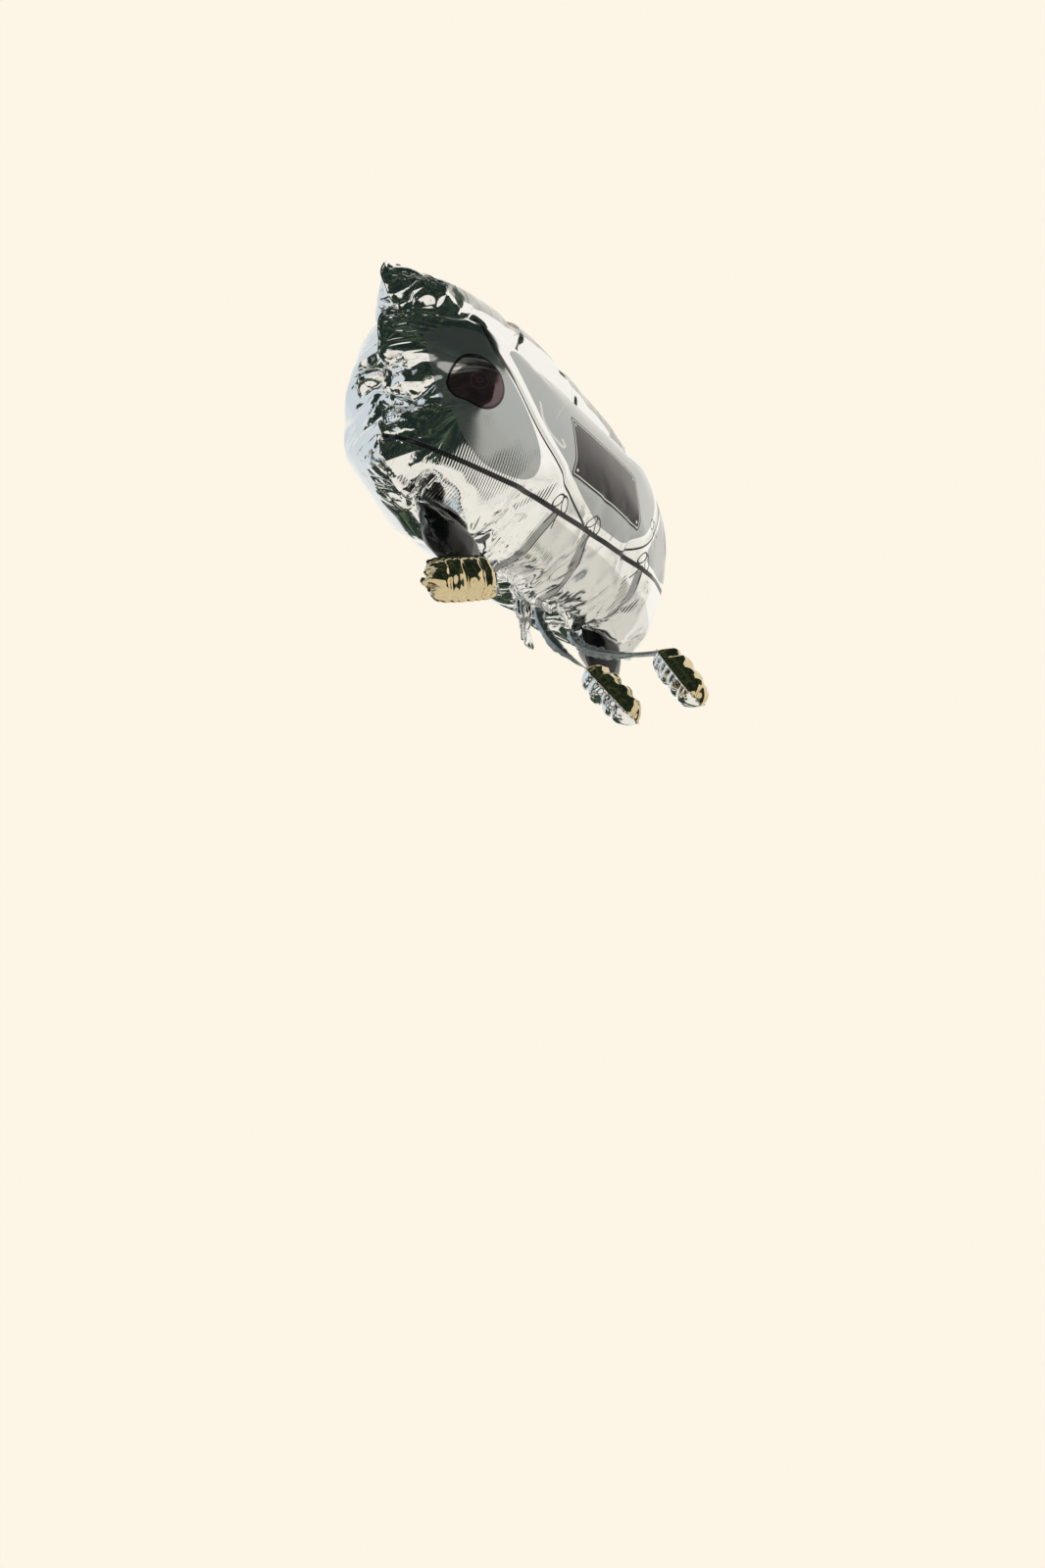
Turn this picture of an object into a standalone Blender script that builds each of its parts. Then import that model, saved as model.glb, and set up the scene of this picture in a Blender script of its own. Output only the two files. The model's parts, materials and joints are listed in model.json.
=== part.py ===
"""A foil party balloon shaped like the back of a car, with three straps that each trail a tin can.

Metres, +Z up. The printed front faces -Y. The origin is the ribbon tie at the end of the neck, and CORNER_SEAM
lifts the envelope's lower corners above it.
"""

from collections import namedtuple
from math import cos, pi, radians, sin, sqrt

import bmesh
import bpy
from mathutils import Matrix, Vector

# Film and seams
FILM = 0.0016
PLAY = 0.0003
SEAM_PLAY = 0.0005
MARGIN = 0.006

# Envelope: its whole width, depth and height between the seams, and the height of its lower corners' seam
ENVELOPE_HALF_WIDTH = 0.360
ENVELOPE_HALF_DEPTH = 0.146
ENVELOPE_HEIGHT = 0.408
CORNER_SEAM = 0.070
COLUMNS = 20
BULGE_POWER = 1.1

# Each section is a curved line from seam to seam. Its height is that of its ends, arch is how far its middle
# stands above them, and fullness is how squarely it bulges. All but fullness are shares of the sizes above.
Section = namedtuple("Section", "height half_width depth arch fullness")
SECTIONS = (
    Section(0.000, 0.794, 0.000, -0.049, 2.2),
    Section(0.012, 0.839, 0.247, -0.047, 2.2),
    Section(0.034, 0.894, 0.411, -0.042, 2.2),
    Section(0.069, 0.944, 0.603, -0.032, 2.3),
    Section(0.118, 0.983, 0.767, -0.020, 2.4),
    Section(0.176, 1.000, 0.897, -0.010, 2.4),
    Section(0.240, 0.992, 0.973, -0.002, 2.6),
    Section(0.319, 0.958, 1.000, 0.000, 3.0),
    Section(0.417, 0.931, 0.973, 0.000, 3.2),
    Section(0.515, 0.936, 0.911, 0.000, 3.4),
    Section(0.588, 0.944, 0.815, 0.000, 3.4),
    Section(0.637, 0.928, 0.719, 0.000, 3.8),
    Section(0.674, 0.903, 0.616, 0.000, 4.5),
    Section(0.701, 0.886, 0.534, 0.000, 5.0),
    Section(0.725, 0.878, 0.445, 0.000, 5.0),
    Section(0.750, 0.883, 0.486, 0.000, 4.5),
    Section(0.784, 0.889, 0.527, 0.000, 3.6),
    Section(0.814, 0.889, 0.541, 0.007, 2.8),
    Section(0.841, 0.883, 0.527, 0.017, 2.4),
    Section(0.875, 0.856, 0.452, 0.032, 2.2),
    Section(0.904, 0.789, 0.308, 0.049, 2.0),
    Section(0.922, 0.728, 0.178, 0.061, 2.0),
    Section(0.931, 0.681, 0.000, 0.069, 2.0),
)

# Tyres: their place and half width as shares of the envelope's half width
Tyre = namedtuple("Tyre", "name centre half_width")
TYRES = (
    Tyre("left", -0.585, 0.185),
    Tyre("right", 0.633, 0.156),
)
TYRE_LENGTH = 0.074
TYRE_DEPTH = 0.025
TYRE_LEAN = radians(12)
TYRE_FULLNESS = 3.2
TYRE_TOP_TAPER = 0.10
TYRE_LOW_TAPER = 0.22
TYRE_STEPS = 9
TYRE_SIDES = 18

# Neck, its tail and the tie
NECK_SPREAD = 0.020
NECK_RADIUS = 0.0065
TAIL_LENGTH = 0.034
TAIL_HALF_WIDTH = 0.016
TAIL_THICKNESS = 0.0024
TIE_CORD = 0.0016

# Straps and cans: a strap's root is a share of the envelope's half width, its span from root to end is a multiple
# of STRAP_REACH, and a can is given by its direction
STRAP_REACH = 0.143
STRAP_HALF_WIDTH = 0.010
STRAP_HALF_THICKNESS = 0.0032
STRAP_DROP = 0.055
STRAP_STEPS = 10
STRAP_SIDES = 10
CAN_LENGTH = 0.104
CAN_HALF_WIDTH = 0.029
CAN_DEPTH = 0.027
CAN_MARGIN = 0.004
CAN_FILM = 0.0012
CAN_RIBS = 3
CAN_RIB_DEPTH = 0.10
CAN_RIB_SHARPNESS = 6
CAN_SHOULDER_POWER = 4
CAN_END_SHARE = 0.62
CAN_STEPS = 12
CAN_ARC = 8
Trailer = namedtuple("Trailer", "name root strap can")
TRAILERS = (
    Trailer("left", -0.244, (-0.928, -0.566, -0.635), (-0.830, 0.492, -0.263)),
    Trailer("centre", 0.125, (0.146, -0.421, -0.760), (0.224, -0.528, -0.819)),
    Trailer("right", 0.411, (0.036, -0.977, -0.545), (-0.008, -0.491, -0.871)),
)

# Colours, as linear red, green and blue
SILVER = (0.78, 0.79, 0.78)
PRINT_GREY = (0.50, 0.50, 0.48)
BLACK = (0.015, 0.016, 0.020)
GOLD = (0.62, 0.47, 0.22)
STRAP_GREY = (0.30, 0.32, 0.34)
RIBBON_WHITE = (0.80, 0.80, 0.78)


def clear_scene():
    for old in list(bpy.data.objects):
        bpy.data.objects.remove(old, do_unlink=True)


def finish_material(name, colour, roughness, metallic):
    """A new Principled material."""
    material = bpy.data.materials.new(name)
    material.use_nodes = True
    shader = material.node_tree.nodes["Principled BSDF"]
    shader.inputs["Base Color"].default_value = (*colour, 1.0)
    shader.inputs["Roughness"].default_value = roughness
    shader.inputs["Metallic"].default_value = metallic
    return material


def add_object(name, mesh_maker, colour, roughness, metallic, origin=(0, 0, 0)):
    """Makes an object whose origin is at the given place from a bmesh in world coordinates."""
    mesh_maker.transform(Matrix.Translation(-Vector(origin)))
    mesh = bpy.data.meshes.new(name)
    mesh_maker.to_mesh(mesh)
    mesh_maker.free()
    mesh.shade_smooth()
    mesh.set_sharp_from_angle(angle=radians(35))
    mesh.materials.append(finish_material(name + " film", colour, roughness, metallic))
    piece = bpy.data.objects.new(name, mesh)
    piece.location = origin
    bpy.context.scene.collection.objects.link(piece)
    return piece


def loft(rings, closed=True, capped=True):
    """A bmesh that joins rings of points in order, with flat caps at its two ends."""
    shape = bmesh.new()
    rows = [[shape.verts.new(point) for point in ring] for ring in rings]
    for lower, upper in zip(rows, rows[1:]):
        count = len(lower)
        for index in range(count if closed else count - 1):
            after = (index + 1) % count
            shape.faces.new((lower[index], lower[after], upper[after], upper[index]))
    if closed and capped:
        shape.faces.new(reversed(rows[0]))
        shape.faces.new(rows[-1])
    if closed:
        bmesh.ops.recalc_face_normals(shape, faces=shape.faces)
    return shape


def along(start, end, share):
    return start + (end - start) * share


# Envelope panels


def line_height(section, across):
    """Height of a section's line at a share of its half width from the middle."""
    rise = section.height + section.arch * (1 - across ** 2)
    return CORNER_SEAM + ENVELOPE_HEIGHT * rise


def seam_height(x):
    """Height of the bottom seam at a distance from the middle."""
    bottom = SECTIONS[0]
    return line_height(bottom, x / (ENVELOPE_HALF_WIDTH * bottom.half_width))


def seam_run(x):
    """Direction in which the bottom seam runs there."""
    step = 0.001
    return Vector((2 * step, 0, seam_height(x + step) - seam_height(x - step))).normalized()


def panel_row(section, side):
    """One line of a panel, from its left seam to its right seam."""
    lift = SEAM_PLAY / 2 + FILM
    half = ENVELOPE_HALF_WIDTH * section.half_width
    row = []
    for index in range(COLUMNS + 1):
        across = -cos(pi * index / COLUMNS)
        bulge = max(0.0, 1 - abs(across) ** section.fullness) ** (BULGE_POWER / section.fullness)
        y = side * (lift + ENVELOPE_HALF_DEPTH * section.depth * bulge)
        row.append(Vector((half * across, y, line_height(section, across))))
    return row


def rim_of(rows):
    """The panel's edge as one loop: along the bottom, up the right, back along the top, down the left."""
    right = [row[-1] for row in rows[1:-1]]
    left = [row[0] for row in rows[1:-1]]
    return rows[0] + right + rows[-1][::-1] + left[::-1]


def margin_points(rim):
    """The rim's points, each pushed out square to the rim and in its plane by the margin."""
    count = len(rim)
    pushed = []
    for index, point in enumerate(rim):
        run = rim[(index + 1) % count] - rim[index - 1]
        outward = Vector((run.z, 0, -run.x)).normalized()
        pushed.append(point + outward * MARGIN)
    return pushed


def make_panel(name, side, colour, roughness):
    rows = [panel_row(section, side) for section in SECTIONS]
    shape = loft(rows, closed=False)
    shape.verts.ensure_lookup_table()
    width = COLUMNS + 1
    grid = [list(shape.verts[index * width : (index + 1) * width]) for index in range(len(rows))]
    rim = rim_of(grid)
    outer = [shape.verts.new(point) for point in margin_points([vertex.co.copy() for vertex in rim])]
    for index, vertex in enumerate(rim):
        after = (index + 1) % len(rim)
        shape.faces.new((vertex, outer[index], outer[after], rim[after]))
    bmesh.ops.recalc_face_normals(shape, faces=shape.faces)
    shape.normal_update()
    facing = sum(face.normal.y * face.calc_area() for face in shape.faces)
    if facing * side < 0:
        bmesh.ops.reverse_faces(shape, faces=shape.faces)
    panel = add_object(name, shape, colour, roughness, 1.0)
    wall = panel.modifiers.new("Film", "SOLIDIFY")
    wall.thickness = FILM
    wall.offset = -1
    wall.use_even_offset = True
    return panel


# Tyres


def make_tyre(tyre):
    """A pillow lobe that hangs from the bottom seam, follows its curve and leans forward."""
    drop = MARGIN + PLAY + FILM * sin(TYRE_LEAN)
    lean = Matrix.Rotation(-TYRE_LEAN, 4, "X")
    rings = []
    for step in range(TYRE_STEPS + 1):
        share = step / TYRE_STEPS
        swell = sqrt(max(0.0, 1 - abs(2 * share - 1) ** TYRE_FULLNESS))
        depth = max(FILM, TYRE_DEPTH * swell)
        top_taper = TYRE_TOP_TAPER * max(0.0, 1 - 2 * share) ** 3
        low_taper = TYRE_LOW_TAPER * max(0.0, 2 * share - 1) ** 3
        half = ENVELOPE_HALF_WIDTH * tyre.half_width * (1 - top_taper - low_taper)
        ring = []
        for index in range(TYRE_SIDES):
            angle = 2 * pi * index / TYRE_SIDES
            x = ENVELOPE_HALF_WIDTH * tyre.centre + half * cos(angle)
            hang = lean @ Vector((0, depth * sin(angle), -TYRE_LENGTH * share))
            ring.append(Vector((x, 0, seam_height(x) - drop)) + hang)
        rings.append(ring)
    return add_object("tyre_" + tyre.name, loft(rings), BLACK, 0.25, 0.6)


# Neck, tail and tie


def neck_ring(height, half_x, half_y, sides=12):
    return [
        Vector((half_x * cos(2 * pi * k / sides), half_y * sin(2 * pi * k / sides), height))
        for k in range(sides)
    ]


def make_neck():
    """The gathered filling tube, from the bottom seam down to the tie, with its flat tail below it."""
    top = seam_height(0) - MARGIN - PLAY
    rings = [
        neck_ring(top, NECK_SPREAD, TAIL_THICKNESS),
        neck_ring(along(0, top, 0.80), 0.6 * NECK_SPREAD, NECK_RADIUS),
        neck_ring(along(0, top, 0.50), NECK_RADIUS * 1.5, NECK_RADIUS * 1.2),
        neck_ring(along(0, top, 0.22), NECK_RADIUS * 1.3, NECK_RADIUS * 1.3),
        neck_ring(TIE_CORD * 2, NECK_RADIUS, NECK_RADIUS),
        neck_ring(0, NECK_RADIUS * 0.8, NECK_RADIUS * 0.8),
        neck_ring(-TIE_CORD * 2, NECK_RADIUS, NECK_RADIUS),
        neck_ring(-TAIL_LENGTH * 0.45, TAIL_HALF_WIDTH * 0.8, TAIL_THICKNESS),
        neck_ring(-TAIL_LENGTH, TAIL_HALF_WIDTH, TAIL_THICKNESS / 2),
    ]
    return add_object("neck", loft(rings), SILVER, 0.15, 1.0)


def make_tie():
    """The ribbon's turn round the neck, as a ring."""
    reach = NECK_RADIUS * 0.8 + PLAY + TIE_CORD
    turns, sides = 20, 8
    shape = bmesh.new()
    rows = []
    for turn in range(turns):
        angle = 2 * pi * turn / turns
        row = []
        for side in range(sides):
            around = 2 * pi * side / sides
            out = reach + TIE_CORD * cos(around)
            place = (out * cos(angle), out * sin(angle), TIE_CORD * sin(around))
            row.append(shape.verts.new(place))
        rows.append(row)
    for index, row in enumerate(rows):
        following = rows[(index + 1) % turns]
        for side in range(sides):
            after = (side + 1) % sides
            shape.faces.new((row[side], following[side], following[after], row[after]))
    bmesh.ops.recalc_face_normals(shape, faces=shape.faces)
    return add_object("ribbon_tie", shape, RIBBON_WHITE, 0.5, 0.0)


# Straps and cans


def strap_root(trailer):
    """The middle of the crease that the strap swings on, just clear of the bottom margin."""
    x = ENVELOPE_HALF_WIDTH * trailer.root
    return Vector((x, 0, seam_height(x) - MARGIN - PLAY - STRAP_HALF_THICKNESS))


def strap_path(trailer, share):
    """A point of the strap's middle line: it leaves the seam square to it and bends to its end."""
    start = strap_root(trailer)
    end = start + Vector(trailer.strap) * STRAP_REACH
    run = seam_run(start.x)
    bend = start + Vector((run.z, 0, -run.x)) * STRAP_DROP
    return along(along(start, bend, share), along(bend, end, share), share)


def strap_direction(trailer, share):
    step = 0.01
    ahead = strap_path(trailer, min(1, share + step))
    behind = strap_path(trailer, max(0, share - step))
    return (ahead - behind).normalized()


def can_crease(trailer):
    """The line that the can bends on at the strap's end, square to both."""
    return strap_direction(trailer, 1).cross(Vector(trailer.can)).normalized()


def strap_frame(trailer, share):
    """The strap's width and thickness directions: the width turns from the seam's line to the can's crease."""
    run = strap_direction(trailer, share)
    across = along(seam_run(strap_root(trailer).x), can_crease(trailer), share)
    across = (across - run * across.dot(run)).normalized()
    return across, run.cross(across)


def strap_ring(trailer, share, past, half_thickness):
    """A level ring of the strap, set past its point on the middle line by a distance."""
    centre = strap_path(trailer, share) + strap_direction(trailer, share) * past
    across, through = strap_frame(trailer, share)
    ring = []
    for index in range(STRAP_SIDES):
        angle = 2 * pi * index / STRAP_SIDES
        width = across * STRAP_HALF_WIDTH * cos(angle)
        ring.append(centre + width + through * half_thickness * sin(angle))
    return ring


def make_strap(trailer):
    """A flat tube whose two ends are rounded about the creases that it swings and bends on."""
    round_steps = [radians(angle) for angle in (80, 50, 25)]
    rings = []
    for angle in round_steps:
        rings.append(strap_ring(trailer, 0, -STRAP_HALF_THICKNESS * sin(angle), STRAP_HALF_THICKNESS * cos(angle)))
    for step in range(STRAP_STEPS + 1):
        rings.append(strap_ring(trailer, step / STRAP_STEPS, 0, STRAP_HALF_THICKNESS))
    for angle in reversed(round_steps):
        rings.append(strap_ring(trailer, 1, STRAP_HALF_THICKNESS * sin(angle), STRAP_HALF_THICKNESS * cos(angle)))
    name = "strap_" + trailer.name
    return add_object(name, loft(rings), STRAP_GREY, 0.3, 0.9, strap_root(trailer))


def can_frame(trailer):
    """The can's near end, and its length, width and gold-side directions."""
    length = Vector(trailer.can).normalized()
    width = can_crease(trailer)
    start = strap_path(trailer, 1) + length * (STRAP_HALF_THICKNESS + PLAY)
    return start, length, width, length.cross(width)


def can_profile(share):
    """Half width and depth of a can at a share of its length: soft shoulders and a crease between the ribs."""
    shoulder = sqrt(max(0.0, 1 - abs(2 * share - 1) ** CAN_SHOULDER_POWER))
    crease = 1 - CAN_RIB_DEPTH * abs(cos(pi * CAN_RIBS * share)) ** CAN_RIB_SHARPNESS
    half = CAN_HALF_WIDTH * along(CAN_END_SHARE, 1, shoulder)
    return half, CAN_DEPTH * shoulder * crease


def make_can_half(trailer, side, colour):
    """One bulged half of a can, flat on the seam, with a thin margin round it."""
    start, length, width, face = can_frame(trailer)
    rings = []
    for step in range(CAN_STEPS + 1):
        share = step / CAN_STEPS
        half, depth = can_profile(share)
        reach = half + CAN_MARGIN
        seat = face * side * PLAY / 2
        centre = start + length * (CAN_LENGTH * share) + seat
        ring = [centre - width * reach, centre + width * reach]
        ring.append(centre + width * reach + face * side * CAN_FILM)
        for index in range(CAN_ARC + 1):
            angle = pi * index / CAN_ARC
            lift = CAN_FILM + depth * sin(angle)
            ring.append(centre + width * half * cos(angle) + face * side * lift)
        ring.append(centre - width * reach + face * side * CAN_FILM)
        rings.append(ring)
    name = "can_" + trailer.name + ("_front" if side > 0 else "_back")
    origin = strap_path(trailer, 1)
    return add_object(name, loft(rings), colour, 0.15, 1.0, origin)


def main():
    clear_scene()
    make_panel("front_panel", -1, PRINT_GREY, 0.25)
    make_panel("back_panel", 1, SILVER, 0.10)
    for tyre in TYRES:
        make_tyre(tyre)
    make_neck()
    make_tie()
    for trailer in TRAILERS:
        make_strap(trailer)
        make_can_half(trailer, 1, GOLD)
        make_can_half(trailer, -1, SILVER)


main()
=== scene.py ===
"""The looks of a foil party balloon that is cut and printed as the back of a car, with three cans under it.

The envelope is cut flat, welded round its rim and blown up with Blender's Cloth, so its bulge, its hanging
tyres and the wrinkles along its seams come from the film itself. The straps, the cans and the neck are shaped
directly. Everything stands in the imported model's frame.
"""

import json
from bisect import bisect_right
from math import atan2, cos, pi, sin, sqrt

import bmesh
import bpy
from bpy.props import FloatProperty, FloatVectorProperty, IntProperty, PointerProperty
from mathutils import Matrix, Vector, noise
from mathutils.kdtree import KDTree


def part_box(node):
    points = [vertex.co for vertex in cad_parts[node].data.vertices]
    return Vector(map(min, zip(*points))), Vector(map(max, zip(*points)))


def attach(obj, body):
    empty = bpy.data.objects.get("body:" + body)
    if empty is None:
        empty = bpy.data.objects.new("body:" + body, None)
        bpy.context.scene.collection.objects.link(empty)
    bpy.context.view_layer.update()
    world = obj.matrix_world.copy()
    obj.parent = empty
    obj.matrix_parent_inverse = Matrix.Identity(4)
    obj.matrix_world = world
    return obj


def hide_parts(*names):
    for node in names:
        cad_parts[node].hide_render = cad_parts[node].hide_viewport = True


bl_info = {
    "name": "Car-shaped foil balloon",
    "version": (1, 0, 0),
    "blender": (4, 5, 0),
    "location": "3D View > Sidebar > Foil balloon",
    "description": "Blows up and finishes the film of a foil balloon around its packed model",
    "category": "Object",
}

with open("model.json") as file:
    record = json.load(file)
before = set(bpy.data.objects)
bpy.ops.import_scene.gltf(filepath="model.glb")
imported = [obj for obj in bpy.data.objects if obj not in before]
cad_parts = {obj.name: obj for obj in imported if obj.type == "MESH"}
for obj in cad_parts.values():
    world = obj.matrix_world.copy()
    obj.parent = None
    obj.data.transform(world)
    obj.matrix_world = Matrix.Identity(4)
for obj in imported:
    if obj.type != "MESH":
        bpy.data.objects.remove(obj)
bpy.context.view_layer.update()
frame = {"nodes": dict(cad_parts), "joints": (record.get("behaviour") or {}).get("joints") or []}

FRONT = 0
BACK = 1
BODY = 0
LEFT_TYRE = -1
RIGHT_TYRE = 1
FLAT = "flat"
SHEET = "sheet"
TAB = "tab"
OUTWARD = "outward"
FLAT_OUTWARD = "flat_outward"
FACE_WAY = "face_way"
RIM = "rim"
TRAILERS = ("left", "centre", "right")

# The film's grid, its first shape and how it behaves while it fills

CELL = 0.0085
CAN_CELL = 0.0022
START_GAP = 0.001
RIPPLE_PITCH = 0.027
RIPPLE_HEIGHT = 0.0008
RIPPLED_SIDE = 0.28
CREASE_REACH = 0.30
CLOTH = {
    "quality": 5, "mass": 0.1, "air_damping": 6, "tension_stiffness": 40, "compression_stiffness": 40,
    "shear_stiffness": 24, "bending_stiffness": 0.05, "tension_damping": 10, "compression_damping": 10,
    "shear_damping": 10, "bending_damping": 0.5, "use_pressure": True}

# Fine wrinkles of the film and the soft edge of its print

RIB_PITCH = 0.0042
RIB_RISE = 0.00011
DENT_RISE = 0.0005
PUCKER_PITCH = 0.030
PUCKER_RISE = 0.0011
SOFT_EDGE = 0.0003

# Cans, straps and the tyres' printed tread, with the painted sunlit grey under it

CAN_SPACING = 0.4
CAN_RIBS = 4
SIDE_PLEATS = 8
END_PLEATS = 4
STRAP_GIRTH = 0.04
STRAP_SEEDS = {"left": 1.7, "centre": 5.3, "right": 9.1}
RIBBON_TURNS = 2.5
SUNLIT_TREAD_FROM = 0.58
TREAD_PITCH = 0.0036


def length_setting(name, description, default):
    return FloatProperty(name=name, description=description, default=default, unit="LENGTH")


def colour_setting(name, description, default):
    return FloatVectorProperty(name=name, description=description, subtype="COLOR", default=default)


class EnvelopeCut(bpy.types.PropertyGroup):
    """The flat pattern that both sheets of the envelope are cut to, and how they are blown up."""

    inflated_width: length_setting(
        "Inflated width", "Width of the body between its welded sides, once blown up", 0.72)
    depth_stretch: FloatProperty(
        name="Depth stretch", description="How much deeper the body is than the simulated one", default=1.19)
    corner_seam: length_setting(
        "Corner seam", "Height of the bottom seam at the body's lower corners, above the tie", 0.070)
    bottom_half: length_setting("Bottom half width", "Half the length of the flat bottom edge", 0.315)
    bottom_arch: length_setting("Bottom arch", "How far the bottom edge is cut below its ends", 0.045)
    corner_height: length_setting("Corner height", "Height of the rounded lower corners", 0.11)
    body_half: length_setting("Body half width", "Half the flat width of the body", 0.400)
    waist_half: length_setting(
        "Waist half width", "Half the flat width at the notches under the roof", 0.340)
    waist_height: length_setting("Waist height", "Flat height of the notches under the roof", 0.355)
    roof_half: length_setting("Roof half width", "Half the flat width of the roof", 0.352)
    shoulder_height: length_setting("Shoulder height", "Flat height where the roof's corners begin", 0.408)
    shoulder_radius: length_setting("Shoulder radius", "Width of the roof's rounded corners", 0.11)
    roof_height: length_setting("Roof height", "Flat height of the roof at its corners", 0.455)
    roof_arch: length_setting("Roof arch", "Rise of the roof's edge at its middle", 0.05)
    seam_sag: length_setting(
        "Seam sag", "How far the middle of the bottom seam is drawn down to the neck and the straps",
        0.0125)
    left_tyre: FloatVectorProperty(
        name="Left tyre", description="Flat places of the left tyre's edges, from the middle", size=2,
        default=(-0.305, -0.159))
    right_tyre: FloatVectorProperty(
        name="Right tyre", description="Flat places of the right tyre's edges, from the middle", size=2,
        default=(0.189, 0.313))
    tyre_drop: length_setting("Tyre drop", "Flat length of a tyre below the bottom edge", 0.088)
    tyre_lean: FloatProperty(
        name="Tyre lean", description="How far the tyres lean forward, as a share of their drop",
        default=0.21)
    tyre_splay: FloatProperty(
        name="Tyre splay", description="How far the tyres spread outwards, as a share of their drop",
        default=0.28)
    tyre_corner: length_setting("Tyre corner", "Radius of a tyre's lower corners", 0.035)
    waist_tie: length_setting(
        "Waist tie", "Film that holds front and back together in the crease under the roof", 0.10)
    tyre_tie: length_setting(
        "Tyre tie", "Opening between front and back where a tyre joins the body", 0.024)
    weld_width: length_setting("Weld width", "Width of the flat welded rim outside the seam", 0.006)
    film: length_setting("Film", "Thickness that the film is drawn with", 0.0002)
    pressure: FloatProperty(name="Pressure", description="Pressure that blows the film up", default=8.0)
    frames: IntProperty(name="Frames", description="Steps that the film is given to settle", default=40)


class TrailerCut(bpy.types.PropertyGroup):
    """The straps under the envelope and the cans at their ends."""

    strap_drop: length_setting(
        "Strap drop", "How far a strap runs square to the seam before it bends to its can", 0.055)
    strap_half_width: length_setting(
        "Strap half width", "Half the width of a strap, with its welds", 0.0094)
    strap_half_depth: length_setting(
        "Strap half depth", "Half the depth of a strap where it is full", 0.0085)
    can_length: length_setting("Can length", "Length of a can between its welds", 0.104)
    can_half_width: length_setting("Can half width", "Half the width of a can between its welds", 0.029)
    can_depth: length_setting("Can depth", "How far each side of a can bulges", 0.027)
    can_weld: length_setting("Can weld", "Width of a can's welded rim", 0.0035)
    can_tail: length_setting("Can tail", "Length of the point at a can's far end", 0.012)
    crease_depth: FloatProperty(
        name="Crease depth", description="Depth of the creases between a can's ribs, as a share of its depth",
        default=0.20)
    seam_gap: length_setting("Seam gap", "Distance from the strap's crease to the can's near weld", 0.0035)


class NeckCut(bpy.types.PropertyGroup):
    """The gathered neck under the envelope and the ribbon that ties it."""

    top_half: length_setting("Top half width", "Half the neck's width at the seam", 0.024)
    neck_radius: length_setting("Neck radius", "Radius of the gathered neck near the tie", 0.0085)
    tail_half: length_setting("Tail half width", "Half the width of the flat tail's end", 0.0185)
    tail_length: length_setting("Tail length", "Length of the tail below the tie", 0.034)
    ribbon_half_width: length_setting("Ribbon half width", "Half the ribbon's width", 0.0013)


class FilmColours(bpy.types.PropertyGroup):
    """The colours of the film and of what is printed on it, as linear red, green and blue."""

    silver: colour_setting("Silver", "Bare mirror film", (0.90, 0.915, 0.92))
    panel_grey: colour_setting("Panel grey", "Printed body panels", (0.47, 0.50, 0.51))
    window_grey: colour_setting("Window grey", "Printed rear window", (0.60, 0.61, 0.59))
    strap_print: colour_setting("Strap print", "Printed straps on the bumper", (0.42, 0.44, 0.44))
    ink_black: colour_setting("Ink black", "Lines, tyres and the plate's edge", (0.010, 0.010, 0.013))
    plate: colour_setting("Plate", "The blank number plate", (0.024, 0.021, 0.022))
    lamp: colour_setting("Lamp", "The printed lamps", (0.15, 0.095, 0.11))
    # White for the printed lid stroke and the plate's line and rivets, and also for the painted highlights
    # beside the lid lines and on the lamps
    white_print_and_highlight: colour_setting("Line white", "Printed highlights", (0.88, 0.88, 0.85))
    rose: colour_setting("Rose", "Printed shapes behind the window", (0.50, 0.27, 0.30))
    gold: colour_setting("Gold", "The cans' gold side", (0.68, 0.57, 0.36))
    strap_film: colour_setting("Strap film", "The straps' film", (0.27, 0.305, 0.33))
    # Tread: printed stripes on a grey that is painted light, lighter than the black tyre as if sunlit
    tread: colour_setting("Tread", "Printed tread of the tyres", (0.20, 0.21, 0.21))
    ribbon: colour_setting("Ribbon", "The ribbon", (0.78, 0.78, 0.76))


class StageSettings(bpy.types.PropertyGroup):
    """The camera, the floor and the light."""

    camera_place: FloatVectorProperty(
        name="Camera place", description="Where the camera stands", size=3, subtype="TRANSLATION",
        default=(-2.4618, -1.3245, -1.4236))
    camera_turn: FloatVectorProperty(
        name="Camera turn", description="How the camera is turned, in radians", size=3, subtype="EULER",
        default=(1.96842, 0.06459, -1.04331))
    focal_length: FloatProperty(
        name="Focal length", description="Focal length for a 24 mm wide upright picture", default=50.0)
    floor_height: length_setting("Floor height", "Height of the floor below the tie", -1.43)
    floor_size: length_setting("Floor size", "Side of the square floor", 60.0)
    floor_colour: colour_setting("Floor colour", "Colour of the floor", (0.78, 0.76, 0.71))
    backdrop: colour_setting("Backdrop", "Colour of the backdrop", (0.982, 0.913, 0.791))
    bright_wall: colour_setting("Bright wall", "The warm side of the soft light", (1.0, 0.965, 0.89))
    cool_wall: colour_setting("Cool wall", "The cool side of the soft light", (0.66, 0.72, 0.75))
    pale_ground: colour_setting("Pale ground", "The light under the balloon", (0.93, 0.88, 0.79))
    grey_ground: colour_setting("Grey ground", "The grey patches in that light", (0.27, 0.29, 0.27))
    dark_screen: colour_setting(
        "Dark screen", "The dark mottled screen that the film mirrors", (0.012, 0.021, 0.019))
    screen_light: colour_setting("Screen light", "The screen's lighter flecks", (0.15, 0.20, 0.11))


class Path:
    """A chain of flat points that is read by its share of the whole length."""

    def __init__(self, points):
        self.points = [Vector(point) for point in points]
        self.runs = [0.0]
        for first, second in zip(self.points, self.points[1:]):
            self.runs.append(self.runs[-1] + (second - first).length)

    def at(self, share):
        run = share * self.runs[-1]
        place = min(max(bisect_right(self.runs, run) - 1, 0), len(self.points) - 2)
        span = self.runs[place + 1] - self.runs[place]
        return self.points[place].lerp(self.points[place + 1], (run - self.runs[place]) / span)


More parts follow.
